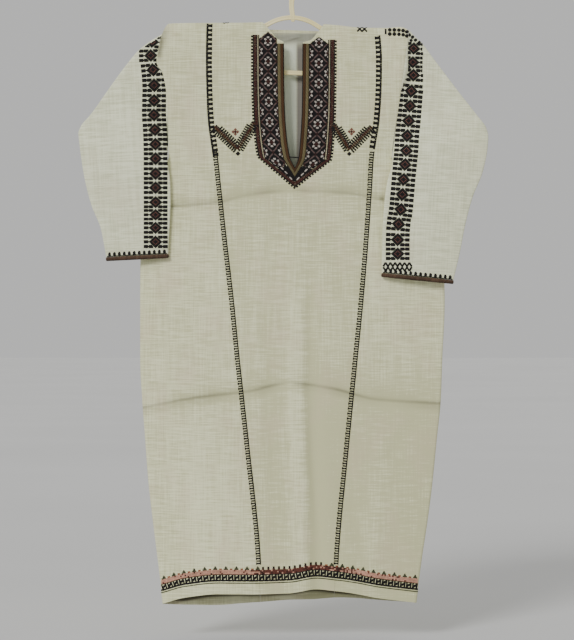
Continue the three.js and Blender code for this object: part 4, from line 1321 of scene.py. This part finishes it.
class Look:
    """A material that is built node by node. Most methods give the output of a new node."""

    def __init__(self, name, settings):
        self.material = bpy.data.materials.new(name)
        self.material.use_nodes = True
        self.tree = self.material.node_tree
        self.shader = self.tree.nodes["Principled BSDF"]
        self.feed(self.shader, settings)

    def feed(self, node, inputs):
        """Gives a node's inputs a number, a colour or another node's output."""
        for key, value in inputs.items():
            if isinstance(value, bpy.types.NodeSocket):
                self.tree.links.new(value, node.inputs[key])
            else:
                node.inputs[key].default_value = value

    def node(self, kind, inputs, **settings):
        node = self.tree.nodes.new(f"ShaderNode{kind}")
        for key, value in settings.items():
            setattr(node, key, value)
        self.feed(node, inputs)
        return node

    def attribute(self, name, output="Fac"):
        return self.node("Attribute", {}, attribute_name=name).outputs[output]

    def noise(self, vector, scale, detail=3.0, rough=0.55):
        """Noise that is stretched by its three scales, in cycles a metre."""
        place = self.node("Mapping", {"Scale": scale, "Vector": vector}).outputs["Vector"]
        inputs = {"Scale": 1.0, "Detail": detail, "Roughness": rough, "Vector": place}
        return self.node("TexNoise", inputs).outputs["Fac"]

    def maths(self, operation, value, *others):
        for other in others:
            value = self.node("Math", {0: value, 1: other}, operation=operation).outputs[0]
        return value

    def blend(self, share, first, second):
        return self.node("Mix", {0: share, 6: first, 7: second}, data_type="RGBA").outputs[2]

    def scaled(self, value, low, high, to_low=0.0, to_high=1.0):
        """Carries the range from low to high over to the range from to_low to to_high."""
        start = {"Value": value, "From Min": low, "From Max": high}
        return self.node("MapRange", {**start, "To Min": to_low, "To Max": to_high}).outputs["Result"]

    def bump(self, height, strength, distance):
        node = self.node("Bump", {"Strength": strength, "Distance": distance, "Height": height})
        self.feed(self.shader, {"Normal": node.outputs["Normal"]})


# Painted shade and painted light on the cloth's inner side: attribute, most of it, colour.
INNER_PAINTED_LIGHT = [
    ("neck", 0.85, srgb(112, 117, 122)), ("slit_left_painted_light", 0.9, srgb(230, 237, 216)),
    ("slit_right_painted_shade", 0.95, srgb(126, 121, 115)),
]
# The colour of painted shade: in creases, beside the sleeves, inside the hem and in the neck fold.
PAINTED_SHADE_COLOUR = srgb(54, 46, 35)


def linen(name, light, dark, stain):
    """Handwoven linen: uneven weft, fine warp, slow patches of colour, and painted light and shade,
    darker in its creases.
    """
    look = Look(name, {"Roughness": 0.88, "Specular IOR Level": 0.25, "Sheen Weight": 0.18,
                       "Sheen Roughness": 0.5})
    thread = look.attribute("thread", "Vector")
    weft = look.noise(thread, (20, 360, 3), 3, 0.6)
    warp = look.noise(thread, (330, 12, 3), 3, 0.6)
    slub = look.noise(thread, (40, 700, 3), 2, 0.7)
    patch = look.noise(thread, (7, 5, 3), 3)
    cloud = look.noise(thread, (13, 9, 3), 3, 0.6)
    share = look.maths(
        "ADD",
        look.scaled(weft, 0.3, 0.7, -0.6, 0.6),
        look.scaled(warp, 0.3, 0.7, -0.35, 0.35),
        look.scaled(slub, 0.35, 0.75, -0.25, 0.34),
        look.scaled(patch, 0.35, 0.65, 0.46, 0.62),
        look.attribute("tone"),
    )
    colour = look.blend(share, dark, light)
    colour = look.blend(look.scaled(cloud, 0.50, 0.70, 0.0, 0.32), colour, stain)
    # Painted light and shade on the inner side, then painted shade and shadows.
    for place, most, painted_colour in INNER_PAINTED_LIGHT:
        colour = look.blend(look.maths("MULTIPLY", look.attribute(place), most), colour, painted_colour)
    colour = look.blend(look.attribute("shadow"), colour, PAINTED_SHADE_COLOUR)
    look.feed(look.shader, {"Base Color": colour})
    heights = [look.maths("MULTIPLY", *part) for part in ((weft, 0.7), (slub, 0.6), (warp, 0.35))]
    look.bump(look.maths("ADD", *heights), 0.5, 0.0008)
    return look.material


def thread_look(name, colour):
    """Wool or cotton thread: each stitch has its own shade, with fine strands in it. On the cuff edging
    this also carries painted light and shade.
    """
    look = Look(name, {"Roughness": 0.8, "Specular IOR Level": 0.25, "Sheen Weight": 0.04})
    vector = look.attribute("thread", "Vector")
    strands = look.noise(vector, (1500, 1500, 900), 2)
    fade = look.noise(vector, (24, 24, 24), 3)
    share = look.maths("MULTIPLY", look.attribute("shade"), look.scaled(strands, 0.3, 0.7, 0.62, 1.25),
                       look.scaled(fade, 0.35, 0.65, 0.82, 1.2), 0.5)
    low = tuple(c * 0.35 for c in colour[:3]) + (1.0,)
    high = tuple(min(1.0, c * 1.65 + 0.004) for c in colour[:3]) + (1.0,)
    look.feed(look.shader, {"Base Color": look.blend(share, low, high)})
    look.bump(strands, 0.6, 0.0005)
    return look.material


def plastic_look():
    """Cream moulded plastic with a fine grain and slight yellowing."""
    look = Look("hanger_plastic", {})
    place = look.node("TexCoord", {}).outputs["Object"]
    cloud = look.noise(place, (9, 9, 9), 3)
    colour = look.blend(look.scaled(cloud, 0.35, 0.65), srgb(238, 222, 156), srgb(248, 235, 180))
    look.feed(look.shader, {"Base Color": colour, "Roughness": look.scaled(cloud, 0.3, 0.7, 0.36, 0.5)})
    look.bump(look.noise(place, (900, 900, 900), 2), 0.15, 0.0003)
    return look.material


def floor_look():
    """Pale, nearly even studio floor."""
    look = Look("floor_pale", {"Roughness": 0.9})
    cloud = look.noise(look.node("TexCoord", {}).outputs["Object"], (0.8, 0.8, 0.8), 2)
    colour = look.blend(look.scaled(cloud, 0.3, 0.7), (0.56, 0.56, 0.55, 1), (0.59, 0.59, 0.58, 1))
    look.feed(look.shader, {"Base Color": colour})
    return look.material


# ---- stage, in metres
CAMERA_FAR = 4.0
VIEW_WIDE = 1.148
VIEW_CENTRE = (-0.012, -0.704)
FRONT_Y = -0.014
FLOOR_Z = -1.345
FLOOR_HALF = 30.0
SENSOR = 36.0


def add_object(name, data):
    added = bpy.data.objects.new(name, data)
    bpy.context.scene.collection.objects.link(added)
    return added


def floor():
    mesh = bpy.data.meshes.new("floor")
    sides = ((-1, -1), (1, -1), (1, 1), (-1, 1))
    corners = [(x * FLOOR_HALF, y * FLOOR_HALF, FLOOR_Z) for x, y in sides]
    mesh.from_pydata(corners, [], [(0, 1, 2, 3)])
    mesh.materials.append(floor_look())
    add_object("floor", mesh)


def soft_sun(name, direction, strength, softness):
    """A large soft light from far away, so that it falls off nowhere."""
    light = bpy.data.lights.new(name, "SUN")
    light.energy = strength
    light.angle = math.radians(softness)
    add_object(name, light).rotation_euler = Vector(direction).to_track_quat("-Z", "Y").to_euler()


def lighting():
    world = bpy.data.worlds.new("studio")
    world.use_nodes = True
    background = world.node_tree.nodes["Background"]
    background.inputs["Color"].default_value = (0.94, 0.94, 0.93, 1)
    background.inputs["Strength"].default_value = 0.62
    bpy.context.scene.world = world
    soft_sun("key", (0.50, 0.84, -0.58), 2.0, 18)
    soft_sun("rear", (-0.5, -0.9, -0.6), 0.7, 50)


def camera():
    data = bpy.data.cameras.new("camera")
    data.sensor_fit = "HORIZONTAL"
    data.sensor_width = SENSOR
    data.lens = SENSOR * CAMERA_FAR / VIEW_WIDE
    data.clip_end = 100
    eye = add_object("camera", data)
    eye.location = (VIEW_CENTRE[0], FRONT_Y - CAMERA_FAR, VIEW_CENTRE[1])
    eye.rotation_euler = (math.pi / 2, 0, 0)
    bpy.context.scene.camera = eye


# ---- everything together
def build():
    body_linen = linen("linen_body", srgb(239, 239, 199), srgb(204, 203, 160), srgb(218, 198, 172))
    sleeve_linen = linen("linen_sleeves", srgb(242, 244, 211), srgb(208, 210, 176), srgb(220, 209, 182))
    threads = [thread_look(f"thread_{name}", srgb(*colour)) for name, colour in THREADS.items()]
    edging_wool = thread_look("edging_wool", srgb(78, 58, 43))
    cloth = {
        "front": front_cloth(body_linen),
        "back": back_cloth(body_linen),
        "side_left": side_cloth("left", body_linen),
        "side_right": side_cloth("right", body_linen),
        "sleeve_left": sleeve_cloth("left", sleeve_linen),
        "sleeve_right": sleeve_cloth("right", sleeve_linen),
    }
    sewn = embroidery(threads)
    braid = slit_braid(threads)
    edgings = [cuff_edging(side, edging_wool) for side in ("left", "right")]
    bars = hanger(plastic_look())


camera()
lighting()
floor()
build()
